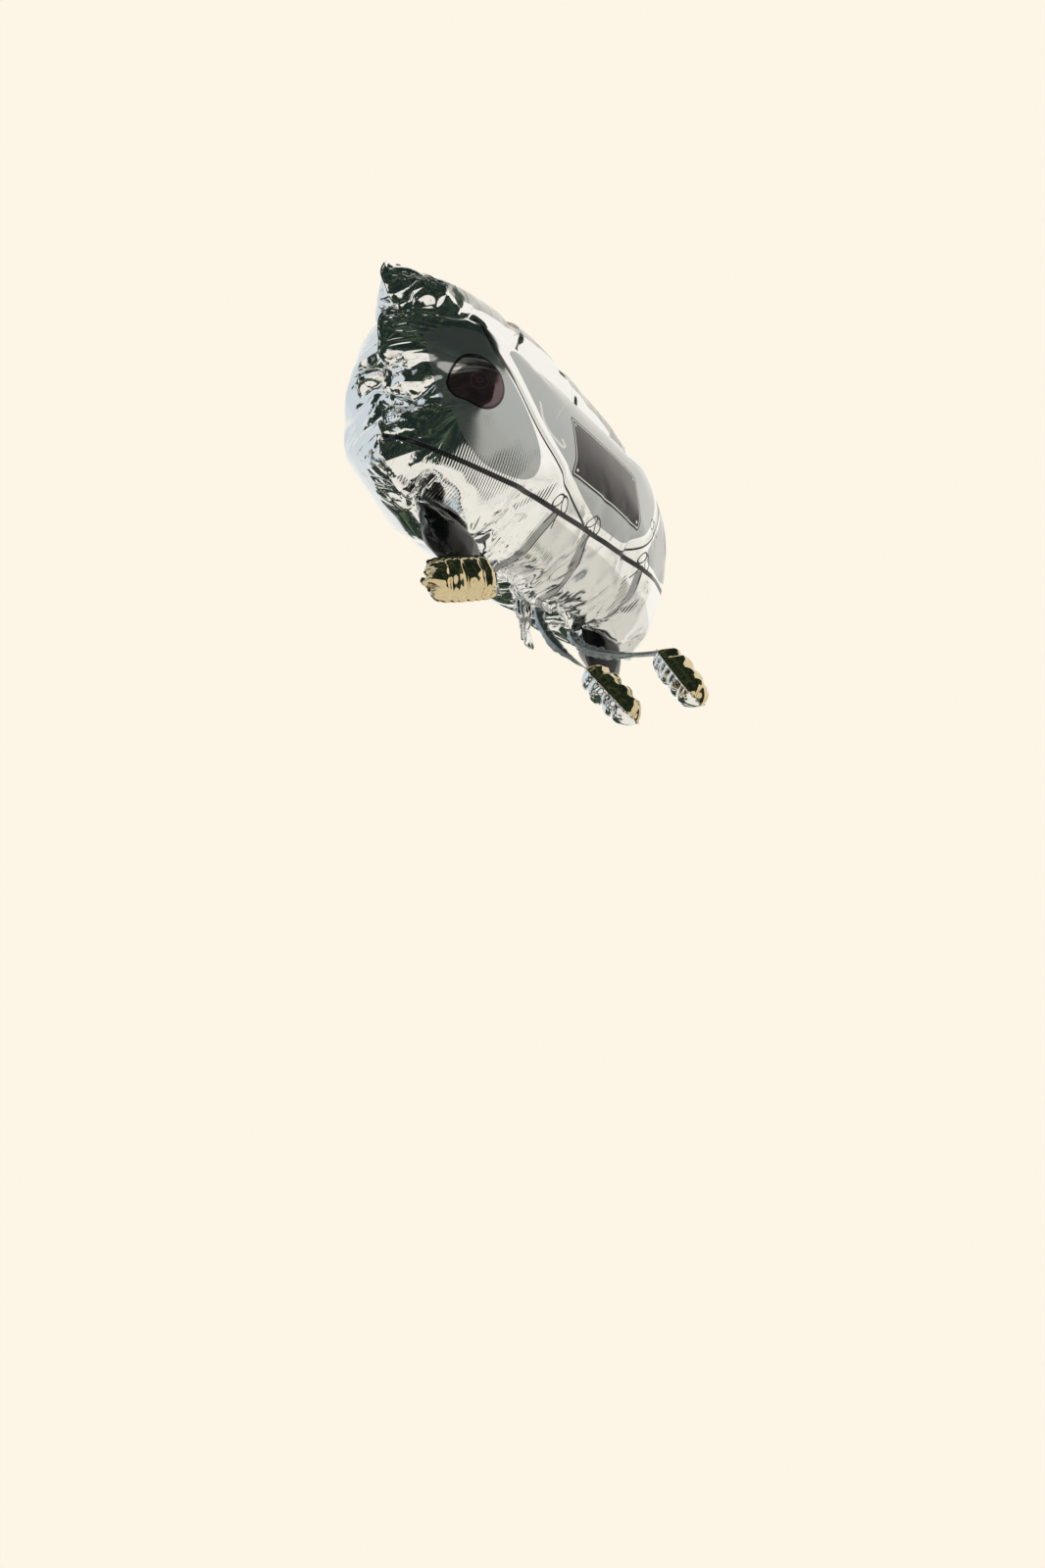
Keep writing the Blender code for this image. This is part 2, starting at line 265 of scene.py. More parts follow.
def ellipse(centre, radii, start, stop, steps):
    """Points of an elliptical arc from one angle to another."""
    turns = [start + (stop - start) * step / (steps - 1) for step in range(steps)]
    return [(centre[0] + radii[0] * cos(turn), centre[1] + radii[1] * sin(turn)) for turn in turns]


def mirrored(points):
    return [(-x, z) for x, z in points]


def pattern_edges(cut):
    """The bottom, right, top and left edges of the flat pattern, without its tyre tabs."""
    shares = [step / 39 for step in range(40)]
    bottom = [(cut.bottom_half * share, -cut.bottom_arch * (1 - share ** 2)) for share in shares]
    corner_radii = (cut.body_half - cut.bottom_half, cut.corner_height)
    corner = ellipse((cut.bottom_half, cut.corner_height), corner_radii, -pi / 2, 0, 25)
    pull = cut.body_half - cut.waist_half
    rise = cut.waist_height - cut.corner_height
    side = [(cut.body_half - pull * share ** 5, cut.corner_height + rise * share) for share in shares[1:]]
    flare = cut.roof_half - cut.waist_half
    rise = cut.shoulder_height - cut.waist_height
    roof = [
        (cut.waist_half + flare * sin(pi / 2 * share), cut.waist_height + rise * share)
        for share in shares[1:]]
    top_half = cut.roof_half - cut.shoulder_radius
    shoulder_radii = (cut.shoulder_radius, cut.roof_height - cut.shoulder_height)
    shoulder = ellipse((top_half, cut.shoulder_height), shoulder_radii, 0, pi / 2, 17)
    top = [
        (top_half * share, cut.roof_height + cut.roof_arch * (1 - share ** 2))
        for share in reversed(shares[:-1])]
    low = bottom + corner[1:13]
    right = corner[12:] + side + roof + shoulder[1:9]
    high = shoulder[8:] + top
    return (
        Path(mirrored(low)[::-1] + low[1:]), Path(right),
        Path(mirrored(high) + high[::-1][1:]), Path(mirrored(right)))


def bottom_edge(cut, x):
    """Flat height of the bottom edge at a distance from the middle."""
    share = min(abs(x) / cut.bottom_half, 1)
    return -cut.bottom_arch * (1 - share ** 2)


def flat_sheet(cut, cell):
    """One sheet of film as a grid that is drawn out to the pattern's edges, with its two tyre tabs."""
    bottom, right, top, left = pattern_edges(cut)
    across = 2 * round(cut.body_half / cell)
    upward = round((cut.roof_height + cut.roof_arch) / cell)
    sheet = bmesh.new()
    bmesh.ops.create_grid(sheet, x_segments=across, y_segments=upward, size=0.5)
    for vert in sheet.verts:
        u = vert.co.x + 0.5
        v = vert.co.y + 0.5
        place = bottom.at(u) * (1 - v) + top.at(u) * v + left.at(v) * (1 - u) + right.at(v) * u
        place -= bottom.at(0) * (1 - u) * (1 - v) + bottom.at(1) * u * (1 - v)
        place -= top.at(0) * (1 - u) * v + top.at(1) * u * v
        vert.co = (place.x, 0, place.y)
    inner = [vert for vert in sheet.verts if not vert.is_boundary]
    for _ in range(40):
        bmesh.ops.smooth_vert(sheet, verts=inner, factor=0.5, use_axis_x=True, use_axis_z=True)
    tab = sheet.faces.layers.int.new(TAB)
    for mark, reach in ((LEFT_TYRE, cut.left_tyre), (RIGHT_TYRE, cut.right_tyre)):
        add_tyre_tab(sheet, cut, cell, reach, tab, mark)
    return sheet


def add_tyre_tab(sheet, cut, cell, reach, tab, mark):
    """Extrudes a tyre's tab down from the bottom edge, row by row, with rounded lower corners."""
    low, high = reach
    edges = [
        edge for edge in sheet.edges
        if edge.is_boundary and all(low <= vert.co.x <= high and vert.co.z < 0.02 for vert in edge.verts)]
    spread = [vert.co.x for edge in edges for vert in edge.verts]
    middle = (min(spread) + max(spread)) / 2
    half = (max(spread) - min(spread)) / 2
    rows = round(cut.tyre_drop / cell)
    before = half
    for row in range(1, rows + 1):
        made = bmesh.ops.extrude_edge_only(sheet, edges=edges)["geom"]
        verts = [item for item in made if isinstance(item, bmesh.types.BMVert)]
        fresh = set(verts)
        edges = [item for item in made if isinstance(item, bmesh.types.BMEdge) and set(item.verts) <= fresh]
        for item in made:
            if isinstance(item, bmesh.types.BMFace):
                item[tab] = mark
        above = max(0.0, cut.tyre_corner - cut.tyre_drop * (1 - row / rows))
        after = half - cut.tyre_corner + sqrt(cut.tyre_corner ** 2 - above ** 2)
        for vert in verts:
            vert.co.z -= cut.tyre_drop / rows
            vert.co.x = middle + (vert.co.x - middle) * after / before
        before = after


def welded_pair(sheet):
    """Doubles the sheet, welds the two round their rim and keeps each point's flat place."""
    flat = sheet.verts.layers.float_vector.new(FLAT)
    side = sheet.faces.layers.int.new(SHEET)
    for vert in sheet.verts:
        vert[flat] = (vert.co.x, 0, vert.co.z)
        vert.co.y = 0.0 if vert.is_boundary else -START_GAP
    rim = [vert for vert in sheet.verts if vert.is_boundary]
    copied = bmesh.ops.duplicate(sheet, geom=list(sheet.faces))["geom"]
    back = [item for item in copied if isinstance(item, bmesh.types.BMFace)]
    for face in back:
        face[side] = BACK
    for vert in (item for item in copied if isinstance(item, bmesh.types.BMVert)):
        vert.co.y = -vert.co.y
        if vert.is_boundary:
            rim.append(vert)
    bmesh.ops.reverse_faces(sheet, faces=back)
    bmesh.ops.remove_doubles(sheet, verts=rim, dist=1e-5)
    if sheet.calc_volume(signed=True) < 0:
        bmesh.ops.reverse_faces(sheet, faces=sheet.faces)


def in_fixed_order(film):
    """The same welded film with its points and faces in an order that is the same in every run."""
    fixed = bmesh.new()
    flat = fixed.verts.layers.float_vector.new(FLAT)
    marks = {name: fixed.faces.layers.int.new(name) for name in (SHEET, TAB)}
    points = sorted(film.verts, key=lambda vert: [round(part, 6) for part in vert.co.yzx])
    made = {}
    for index, vert in enumerate(points):
        made[vert] = fixed.verts.new(vert.co)
        made[vert][flat] = vert[film.verts.layers.float_vector[FLAT]]
        made[vert].index = index
    corners = {}
    for face in film.faces:
        ring = [made[vert] for vert in face.verts]
        first = ring.index(min(ring, key=lambda vert: vert.index))
        corners[face] = ring[first:] + ring[:first]
    for face in sorted(film.faces, key=lambda face: [vert.index for vert in corners[face]]):
        copied = fixed.faces.new(corners[face])
        for name, mark in marks.items():
            copied[mark] = face[film.faces.layers.int[name]]
    film.free()
    return fixed


def sheet_of(vert, side):
    """FRONT or BACK for a point inside a sheet, and None on the rim, where both meet."""
    sheets = {face[side] for face in vert.link_faces}
    return sheets.pop() if len(sheets) == 1 else None


def tie(film, first, second, length):
    """A slack thread of the given length between two points of the film."""
    flat = film.verts.layers.float_vector[FLAT]
    middle = film.verts.new((first.co.x, 0, first.co.z - length / 2))
    middle[flat] = (first.co.x, 0, first.co.z - length / 2)
    film.edges.new((first, middle))
    film.edges.new((middle, second))


def add_ties(film, cut, cell):
    """Threads that keep the crease under the roof, and the mouths of the tyres, from blowing open."""
    flat = film.verts.layers.float_vector[FLAT]
    side = film.faces.layers.int[SHEET]
    fronts = {}
    backs = {}
    for vert in film.verts:
        which = sheet_of(vert, side)
        if which is not None:
            key = (round(vert[flat].x, 5), round(vert[flat].z, 5))
            (backs if which == BACK else fronts)[key] = vert
    middle = [key for key in fronts if abs(key[0]) < cell * 0.1]
    crease = min(middle, key=lambda key: abs(key[1] - cut.waist_height))[1]
    steps = int(CREASE_REACH / cell)
    for step in range(-steps, steps + 1):
        x = step * cell
        near = [key for key in fronts if abs(key[0] - x) < cell and abs(key[1] - crease) < 3 * cell]
        key = min(near, key=lambda key: abs(key[0] - x) * 4 + abs(key[1] - crease))
        if key in backs and not any(edge.is_wire for edge in fronts[key].link_edges):
            tie(film, fronts[key], backs[key], cut.waist_tie)
    for key, vert in fronts.items():
        inside = any(low < key[0] < high for low, high in (cut.left_tyre, cut.right_tyre))
        if inside and abs(key[1] - bottom_edge(cut, key[0])) < 0.002 and key in backs:
            tie(film, vert, backs[key], cut.tyre_tie)


def ripple_rim(film):
    """A fine wave along the rim, so that the seam puckers evenly when the film fills."""
    flat = film.verts.layers.float_vector[FLAT]
    side = film.faces.layers.int[SHEET]
    for vert in film.verts:
        if vert.link_faces and sheet_of(vert, side) is None:
            along = vert[flat].z if abs(vert[flat].x) > RIPPLED_SIDE else vert[flat].x
            vert.co.y += RIPPLE_HEIGHT * sin(2 * pi * along / RIPPLE_PITCH)


def blown_up(film, pressure, frames):
    """Fills the welded film with gas and returns its settled shape."""
    mesh = bpy.data.meshes.new("flat_film")
    film.to_mesh(mesh)
    film.free()
    obj = bpy.data.objects.new("flat_film", mesh)
    scene = bpy.context.scene
    scene.collection.objects.link(obj)
    cloth = obj.modifiers.new("Inflate", "CLOTH")
    settings = cloth.settings
    for name, value in CLOTH.items():
        setattr(settings, name, value)
    settings.uniform_pressure_force = pressure
    settings.effector_weights.gravity = 0
    cloth.collision_settings.use_collision = False
    cloth.point_cache.frame_start = 1
    cloth.point_cache.frame_end = frames + 1
    scene.frame_start = 1
    scene.frame_end = frames + 1
    for step in range(1, frames + 1):
        scene.frame_set(step)
    settled = bmesh.new()
    settled.from_mesh(obj.evaluated_get(bpy.context.evaluated_depsgraph_get()).data)
    bpy.data.objects.remove(obj)
    scene.frame_set(1)
    bmesh.ops.delete(settled, geom=[vert for vert in settled.verts if not vert.link_faces], context="VERTS")
    return settled


def set_in_frame(film, cut):
    """Scales the film to its real width, sets it at its height and draws its bottom seam down."""
    flat = film.verts.layers.float_vector[FLAT]
    low = min(vert.co.x for vert in film.verts)
    high = max(vert.co.x for vert in film.verts)
    scale = cut.inflated_width / (high - low)
    stretch = Vector((scale, scale * cut.depth_stretch, scale))
    bmesh.ops.translate(film, verts=film.verts, vec=(-(low + high) / 2, 0, 0))
    bmesh.ops.scale(film, verts=film.verts, vec=stretch)
    corners = [
        vert.co.z for vert in film.verts
        if abs(abs(vert[flat].x) - cut.bottom_half) < 0.008 and abs(vert[flat].z) < 0.006]
    bmesh.ops.translate(film, verts=film.verts, vec=(0, 0, cut.corner_seam - min(corners)))
    for vert in film.verts:
        low = min(1.0, max(0.0, 1 - vert[flat].z / cut.corner_height)) ** 2
        vert.co.z -= cut.seam_sag * low * max(0.0, 1 - (vert[flat].x / cut.bottom_half) ** 2)
        below = bottom_edge(cut, vert[flat].x) - vert[flat].z
        if below > 0:
            vert.co.y -= cut.tyre_lean * below
            vert.co.x += cut.tyre_splay * below * (1 if vert[flat].x > 0 else -1)


def mark_rim(film, way_of):
    """Writes how the weld runs on from each point of the rim, and which way the front is there."""
    flat = film.verts.layers.float_vector[FLAT]
    side = film.faces.layers.int[SHEET]
    outward = film.verts.layers.float_vector.new(OUTWARD)
    flat_outward = film.verts.layers.float_vector.new(FLAT_OUTWARD)
    face_way = film.verts.layers.float_vector.new(FACE_WAY)
    rim = {vert for vert in film.verts if sheet_of(vert, side) is None}
    for vert in rim:
        front_way = way_of(vert)
        away = Vector()
        flat_away = Vector()
        ahead = []
        for edge in vert.link_edges:
            other = edge.other_vert(vert)
            if other in rim:
                ahead.append(other.co)
            else:
                away += (vert.co - other.co).normalized()
                flat_away += vert[flat] - other[flat]
        tangent = (ahead[0] - ahead[-1]).normalized() if len(ahead) > 1 else Vector((0, 0, 1))
        away -= tangent * away.dot(tangent)
        vert[outward] = away.normalized()
        vert[face_way] = front_way
        vert[flat_outward] = flat_away.normalized() if flat_away.length else away.normalized()


def cut_out(film, sheet, tab, weld, thickness):
    """One sheet of the film, as a bmesh of its own: a tyre's tab or the rest, with its half of the weld."""
    part = film.copy()
    side = part.faces.layers.int[SHEET]
    tabs = part.faces.layers.int[TAB]
    flat = part.verts.layers.float_vector[FLAT]
    outward = part.verts.layers.float_vector[OUTWARD]
    flat_outward = part.verts.layers.float_vector[FLAT_OUTWARD]
    face_way = part.verts.layers.float_vector[FACE_WAY]
    unwanted = [face for face in part.faces if face[side] != sheet or face[tabs] != tab]
    bmesh.ops.delete(part, geom=unwanted, context="FACES")
    seam = [
        edge for edge in part.edges
        if edge.is_boundary and all(vert[outward].length > 0.5 for vert in edge.verts)]
    made = bmesh.ops.extrude_edge_only(part, edges=seam)["geom"]
    for vert in (item for item in made if isinstance(item, bmesh.types.BMVert)):
        vert.co += vert[outward] * weld
        vert[flat] = vert[flat] + vert[flat_outward] * weld
    away = 1 if sheet == FRONT else -1
    for vert in part.verts:
        if vert[outward].length > 0.5:
            vert.co += vert[face_way] * (away * thickness * 1.25)
    uv = part.loops.layers.uv.new("Flat")
    for face in part.faces:
        face.smooth = True
        for loop in face.loops:
            loop[uv].uv = (loop.vert[flat].x, loop.vert[flat].z)
    return part


def add_piece(name, parts, body, replaced, material):
    """Joins bmeshes into one finished piece of the scene."""
    mesh = bpy.data.meshes.new(name)
    whole = bmesh.new()
    for part in parts:
        part.to_mesh(mesh)
        part.free()
        whole.from_mesh(mesh)
    whole.to_mesh(mesh)
    whole.free()
    mesh.materials.append(material)
    obj = bpy.data.objects.new(name, mesh)
    bpy.context.scene.collection.objects.link(obj)
    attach(obj, body)
    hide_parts(*replaced)
    return obj


def finish_film(obj, thickness):
    """Rounds a film between its points and gives it its thickness."""
    rounding = obj.modifiers.new("Rounding", "SUBSURF")
    rounding.levels = 1
    rounding.render_levels = 1
    wall = obj.modifiers.new("Film", "SOLIDIFY")
    wall.thickness = thickness
    wall.offset = -1


class Wire:
    """A value in a node tree that can be used in plain arithmetic."""

    def __init__(self, tree, socket):
        self.tree = tree
        self.socket = socket

    def maths(self, operation, *others):
        node = self.tree.nodes.new("ShaderNodeMath")
        node.operation = operation
        for place, value in zip(node.inputs, others):
            feed(place, value)
        return Wire(self.tree, node.outputs[0])

    def __add__(self, other):
        return self.maths("ADD", self, other)

    def __sub__(self, other):
        return self.maths("SUBTRACT", self, other)

    def __mul__(self, other):
        return self.maths("MULTIPLY", self, other)

    def __truediv__(self, other):
        return self.maths("DIVIDE", self, other)

    def __radd__(self, other):
        return self.maths("ADD", other, self)

    def __rsub__(self, other):
        return self.maths("SUBTRACT", other, self)

    def __rmul__(self, other):
        return self.maths("MULTIPLY", other, self)

    def __pow__(self, other):
        return self.maths("POWER", self, other)

    def __neg__(self):
        return self.maths("MULTIPLY", self, -1.0)

    def size(self):
        return self.maths("ABSOLUTE", self)

    def wave(self):
        return self.maths("SINE", self)

    def at_least(self, other):
        return self.maths("MAXIMUM", self, other)

    def at_most(self, other):
        return self.maths("MINIMUM", self, other)


def feed(socket, value):
    """Sets a socket to a value, or links a wire to it."""
    if isinstance(value, Wire):
        value.tree.links.new(value.socket, socket)
    elif socket.type == "RGBA" and len(value) == 3:
        socket.default_value = (*value, 1)
    else:
        socket.default_value = value


class Finish:
    """The node tree of one material, or of the world, and the short ways to add nodes to it."""

    def __init__(self, holder):
        holder.use_nodes = True
        self.holder = holder
        self.tree = holder.node_tree

    def node(self, kind, settings, sockets, output=0):
        """Adds a node, sets it, feeds its sockets and returns one of its outputs."""
        node = self.tree.nodes.new(kind)
        for name, value in settings.items():
            setattr(node, name, value)
        for name, value in sockets.items():
            feed(node.inputs[name], value)
        return Wire(self.tree, node.outputs[output])

    def split(self, vector):
        node = self.tree.nodes.new("ShaderNodeSeparateXYZ")
        feed(node.inputs[0], vector)
        return [Wire(self.tree, socket) for socket in node.outputs]

    def place(self):
        """The piece's own point, in the object's frame."""
        return self.node("ShaderNodeTexCoord", {}, {}, output="Object")

    def flat_place(self):
        """The place on the flat film, in metres."""
        return self.node("ShaderNodeUVMap", {"uv_map": "Flat"}, {})

    def written(self, name):
        """The three numbers that each point of the piece carries under a name."""
        return self.split(self.node("ShaderNodeAttribute", {"attribute_name": name}, {}, output="Vector"))

    def stretched(self, vector, across, up):
        return self.node("ShaderNodeMapping", {}, {"Vector": vector, "Scale": (across, up, 1.0)})

    def mixed(self, share, first, second):
        return self.node("ShaderNodeMix", {"data_type": "RGBA"}, {0: share, 6: first, 7: second}, output=2)

    def grain(self, vector, scale, detail=2.0, rough=0.5):
        """A noise between 0 and 1."""
        sockets = {"Vector": vector, "Scale": scale, "Detail": detail, "Roughness": rough}
        return self.node("ShaderNodeTexNoise", {}, sockets)

    def rise(self, value, low, high):
        """0 below low, 1 above high and smooth between them. With low above high it falls instead."""
        settings = {"interpolation_type": "SMOOTHSTEP"}
        if isinstance(low, float) and isinstance(high, float) and low > high:
            return 1.0 - self.rise(value, high, low)
        return self.node("ShaderNodeMapRange", settings, {"Value": value, "From Min": low, "From Max": high})

    def inside(self, distance):
        """1 where a distance is negative, with a soft edge."""
        return self.rise(distance, SOFT_EDGE, -SOFT_EDGE)

    def bump(self, height, strength, distance):
        return self.node("ShaderNodeBump", {}, {"Height": height, "Strength": strength, "Distance": distance})

    def shine(self, colour, metallic, roughness, normal=None, glint=0.5):
        """Sends a colour, a metallic share, a roughness and a normal to the material's shader."""
        shader = self.tree.nodes["Principled BSDF"]
        shader.inputs["Specular IOR Level"].default_value = glint
        for name, value in (("Base Color", colour), ("Metallic", metallic), ("Roughness", roughness)):
            feed(shader.inputs[name], value)
        if normal is not None:
            feed(shader.inputs["Normal"], normal)


def new_finish(name):
    return Finish(bpy.data.materials.new(name))


class Inks:
    """Layers of print on mirror film: each one covers what lies under it where its mask is 1."""

    def __init__(self, finish, colour, metallic, roughness):
        self.finish = finish
        self.colour = colour
        self.metallic = metallic
        self.roughness = roughness

    def lay(self, mask, colour, metallic, roughness):
        finish = self.finish
        self.colour = finish.mixed(mask, self.colour, colour)
        self.metallic = self.metallic + (metallic - self.metallic) * mask
        self.roughness = self.roughness + (roughness - self.roughness) * mask


def film_wrinkles(finish, flat, ribbed, puckered):
    """Fine unevenness of thin film: slow dents, ribs that run up it and puckers that fan in from its weld."""
    across, up, _ = finish.split(flat)
    height = finish.grain(flat, 16.0, 1.0) * DENT_RISE
    if ribbed:
        ribs = (across * (2 * pi / RIB_PITCH) + finish.grain(flat, 7.0) * 2.5).wave()
        strength = finish.rise(finish.grain(flat, 8.0), 0.44, 0.56)
        reach = finish.rise(up, 0.155, 0.115) * finish.rise(up, -0.01, 0.02)
        height = height + ribs * strength * reach * RIB_RISE
    if puckered:
        inward, along, _ = finish.written(RIM)
        reach = finish.grain(finish.node("ShaderNodeCombineXYZ", {}, {0: along}), 31.0, 0.0)
        phase = along * (pi / PUCKER_PITCH) + reach * 1.5
        ridge = (1.0 - phase.wave().size()) ** 1.5
        fade = finish.rise(inward - reach * 0.070, 0.045, -0.020)
        height = height + ridge * fade * PUCKER_RISE
    return finish.bump(height, 1.0, 1.0)


def mirror_film(name, colour, roughness, puckered):
    """Bare mirror film with its dents."""
    finish = new_finish(name)
    flat = finish.flat_place()
    haze = roughness + finish.grain(flat, 40.0) * 0.05
    finish.shine(colour, 1.0, haze, film_wrinkles(finish, flat, False, puckered))
    return finish.holder


# Printed lines and panels on the flat film, in metres from the middle of its bottom edge

STROKES = {
    "left_lid_line": (
        (-0.252, 0.310), (-0.246, 0.270), (-0.237, 0.238), (-0.221, 0.209), (-0.188, 0.168), (-0.150, 0.136),
        (-0.107, 0.110), (-0.062, 0.089), (-0.003, 0.071)),
    "right_lid_line": (
        (0.262, 0.310), (0.252, 0.262), (0.230, 0.205), (0.194, 0.153), (0.165, 0.122), (0.133, 0.096),
        (0.089, 0.074)),
    "bumper_line": (
        (-0.395, 0.072), (-0.345, 0.066), (-0.257, 0.064), (-0.167, 0.064), (-0.099, 0.065), (0.007, 0.071),
        (0.088, 0.076), (0.202, 0.088), (0.250, 0.098), (0.390, 0.124)),
    "left_band": ((-0.080, 0.066), (-0.085, 0.034), (-0.086, -0.002), (-0.090, -0.030), (-0.094, -0.055)),
    "centre_band": ((0.013, 0.068), (0.031, 0.031), (0.045, -0.008), (0.048, -0.035), (0.048, -0.055)),
    "right_band": ((0.170, 0.080), (0.188, 0.037), (0.191, 0.000), (0.178, -0.025), (0.160, -0.050)),
    "lid_highlight": (
        (-0.162, 0.197), (-0.158, 0.172), (-0.146, 0.159), (-0.130, 0.151), (-0.112, 0.146), (-0.108, 0.151),
        (-0.112, 0.157)),
}
PANELS = {
    "left_wing": (
        (-0.342, 0.255), (-0.341, 0.200), (-0.334, 0.160), (-0.322, 0.128), (-0.300, 0.102), (-0.272, 0.082),
        (-0.245, 0.072), (-0.210, 0.071), (-0.180, 0.074), (-0.162, 0.082), (-0.156, 0.098), (-0.160, 0.120),
        (-0.176, 0.146), (-0.205, 0.180), (-0.228, 0.208), (-0.243, 0.236), (-0.252, 0.262), (-0.262, 0.274),
        (-0.300, 0.277), (-0.333, 0.270)),
    "right_wing": (
        (0.342, 0.260), (0.345, 0.220), (0.340, 0.180), (0.328, 0.145), (0.300, 0.122), (0.260, 0.107),
        (0.215, 0.100), (0.180, 0.098), (0.168, 0.106), (0.180, 0.128), (0.205, 0.155), (0.236, 0.200),
        (0.255, 0.248), (0.266, 0.276), (0.300, 0.282), (0.333, 0.275)),
    "lid": (
        (-0.208, 0.262), (-0.204, 0.236), (-0.188, 0.204), (-0.160, 0.169), (-0.116, 0.135), (-0.080, 0.117),
        (-0.049, 0.103), (-0.016, 0.093), (0.020, 0.086), (0.090, 0.089), (0.122, 0.107), (0.152, 0.132),
        (0.184, 0.168),
        (0.212, 0.212), (0.222, 0.250), (0.214, 0.270), (0.150, 0.276), (0.000, 0.280), (-0.150, 0.276)),
    "window": (
        (-0.262, 0.470), (-0.272, 0.415), (-0.273, 0.380), (-0.262, 0.368), (-0.235, 0.369), (-0.200, 0.376),
        (-0.154, 0.387), (-0.101, 0.400), (-0.050, 0.410), (0.000, 0.414), (0.050, 0.410), (0.101, 0.400),
        (0.154, 0.387), (0.200, 0.376), (0.235, 0.369), (0.262, 0.368), (0.273, 0.380), (0.272, 0.415),
        (0.262, 0.470), (0.100, 0.515), (-0.100, 0.515)),
    "left_cushion": ((-0.112, 0.466), (-0.085, 0.418), (-0.070, 0.424), (-0.052, 0.468), (-0.080, 0.474)),
    "right_cushion": ((-0.046, 0.468), (-0.030, 0.425), (-0.012, 0.424), (0.010, 0.470), (-0.020, 0.478)),
}
BOWS = ((-0.080, 0.067), (0.013, 0.073), (0.171, 0.086), (0.192, 0.152))
LAMPS = ((-0.283, 0.181), (0.300, 0.186))
LAMP_RADII = (0.0395, 0.0425)
PLATE_CENTRE = (0.0190, 0.1655)
PLATE_HALF = (0.1015, 0.0475)
PLATE_CORNER = 0.006
RIVET_INSET = 0.011
RIVET_RADII = (0.0024, 0.0024)
WINDOW_UPRIGHTS = (-0.236, -0.170, 0.170, 0.236)
BAND_HALF = 0.0075
BUMPER_LINE_HALF = 0.0033

# A bow: where its loops lie from its knot, their radii and turn, and its ends

BOW_LOOP = (0.0085, 0.0110)
BOW_RADII = (0.0062, 0.0118)
BOW_TURN = (0.80, 0.60)
BOW_KNOT = (0.0030, 0.0026)
BOW_END_START = 0.0028
BOW_END_LEAN = 0.32
BOW_END_LENGTH = 0.0220


def smoothed(points, closed):
    """Points of a smooth curve through the given ones."""
    count = len(points)
    places = [Vector(point) for point in points]
    spans = count if closed else count - 1
    steps = 5
    curve = []
    for span in range(spans):
        if closed:
            before, first, second, after = (places[(span + shift) % count] for shift in (-1, 0, 1, 2))
        else:
            first, second = places[span], places[span + 1]
            before = places[span - 1] if span else first * 2 - second
            after = places[span + 2] if span + 2 < count else second * 2 - first
        for step in range(steps):
            t = step / steps
            curve.append(0.5 * (
                first * 2 + (second - before) * t + (before * 2 - first * 5 + second * 4 - after) * t ** 2
                + (first * 3 - before - second * 3 + after) * t ** 3))
    if not closed:
        curve.append(places[-1])
    return curve


def nearest_on(curve, runs, point, closed):
    """Distance to a curve, positive on its left, and how far along it the nearest point lies."""
    best = None
    spans = len(curve) if closed else len(curve) - 1
    for index in range(spans):
        first = curve[index]
        second = curve[(index + 1) % len(curve)]
        way = second - first
        length = way.length
        share = (point - first).dot(way) / length ** 2
        held = min(max(share, 0.0), 1.0)
        away = (point - first.lerp(second, held)).length
        if best is None or away < best[0] - 1e-9:
            sign = 1 if way.x * (point.y - first.y) - way.y * (point.x - first.x) > 0 else -1
            past_end = index == 0 and share < 0 or index == spans - 1 and share > 1
            free = share if past_end and not closed else held
            best = (away, sign, runs[index] + free * length)
            if free != held:
                off = (point - first).dot(Vector((-way.y, way.x))) / length
                best = (away, off / away if away else 1, best[2])
    return best[0] * best[1], best[2]


def write_print(part):
    """Writes, for each printed line and panel, how far each point of the film lies from it and along it."""
    flat = part.verts.layers.float_vector[FLAT]
    for group, closed in ((STROKES, False), (PANELS, True)):
        for name, points in group.items():
            layer = part.verts.layers.float_vector.new(name)
            curve = smoothed(points, closed)
            area = sum(a.x * b.y - a.y * b.x for a, b in zip(curve, curve[1:] + curve[:1]))
            runs = [0.0]
            for first, second in zip(curve, curve[1:]):
                runs.append(runs[-1] + (second - first).length)
            for vert in part.verts:
                away, along = nearest_on(curve, runs, Vector((vert[flat].x, vert[flat].z)), closed)
                if closed and area > 0:
                    away = -away
                vert[layer] = (away, along, runs[-1])


def stroke_mask(finish, name, half_width):
    """1 on a printed line, with a half width that may be a wire of its own."""
    away, along, whole = finish.written(name)
    mask = finish.inside(away.size() - half_width) * finish.rise(along, -SOFT_EDGE, SOFT_EDGE)
    return mask * finish.rise(whole - along, -SOFT_EDGE, SOFT_EDGE)


def panel_mask(finish, name):
    """1 inside a printed panel."""
    return finish.inside(finish.written(name)[0])


def round_distance(across, up, centre, radii):
    """Distance from an ellipse's edge, roughly in metres, negative inside."""
    x = (across - centre[0]) / radii[0]
    z = (up - centre[1]) / radii[1]
    return ((x * x + z * z) ** 0.5 - 1.0) * min(radii)


def box_distance(across, up, centre, half, corner):
    """Distance from the edge of a box with rounded corners, negative inside."""
    x = (across - centre[0]).size() - (half[0] - corner)
    z = (up - centre[1]).size() - (half[1] - corner)
    outer_x = x.at_least(0.0)
    outer_z = z.at_least(0.0)
    return (outer_x * outer_x + outer_z * outer_z) ** 0.5 + x.at_least(z).at_most(0.0) - corner


def line_at(finish, away, half_width):
    """A line of the given half width where a distance is zero."""
    return finish.rise(away.size(), half_width + SOFT_EDGE, half_width - SOFT_EDGE)


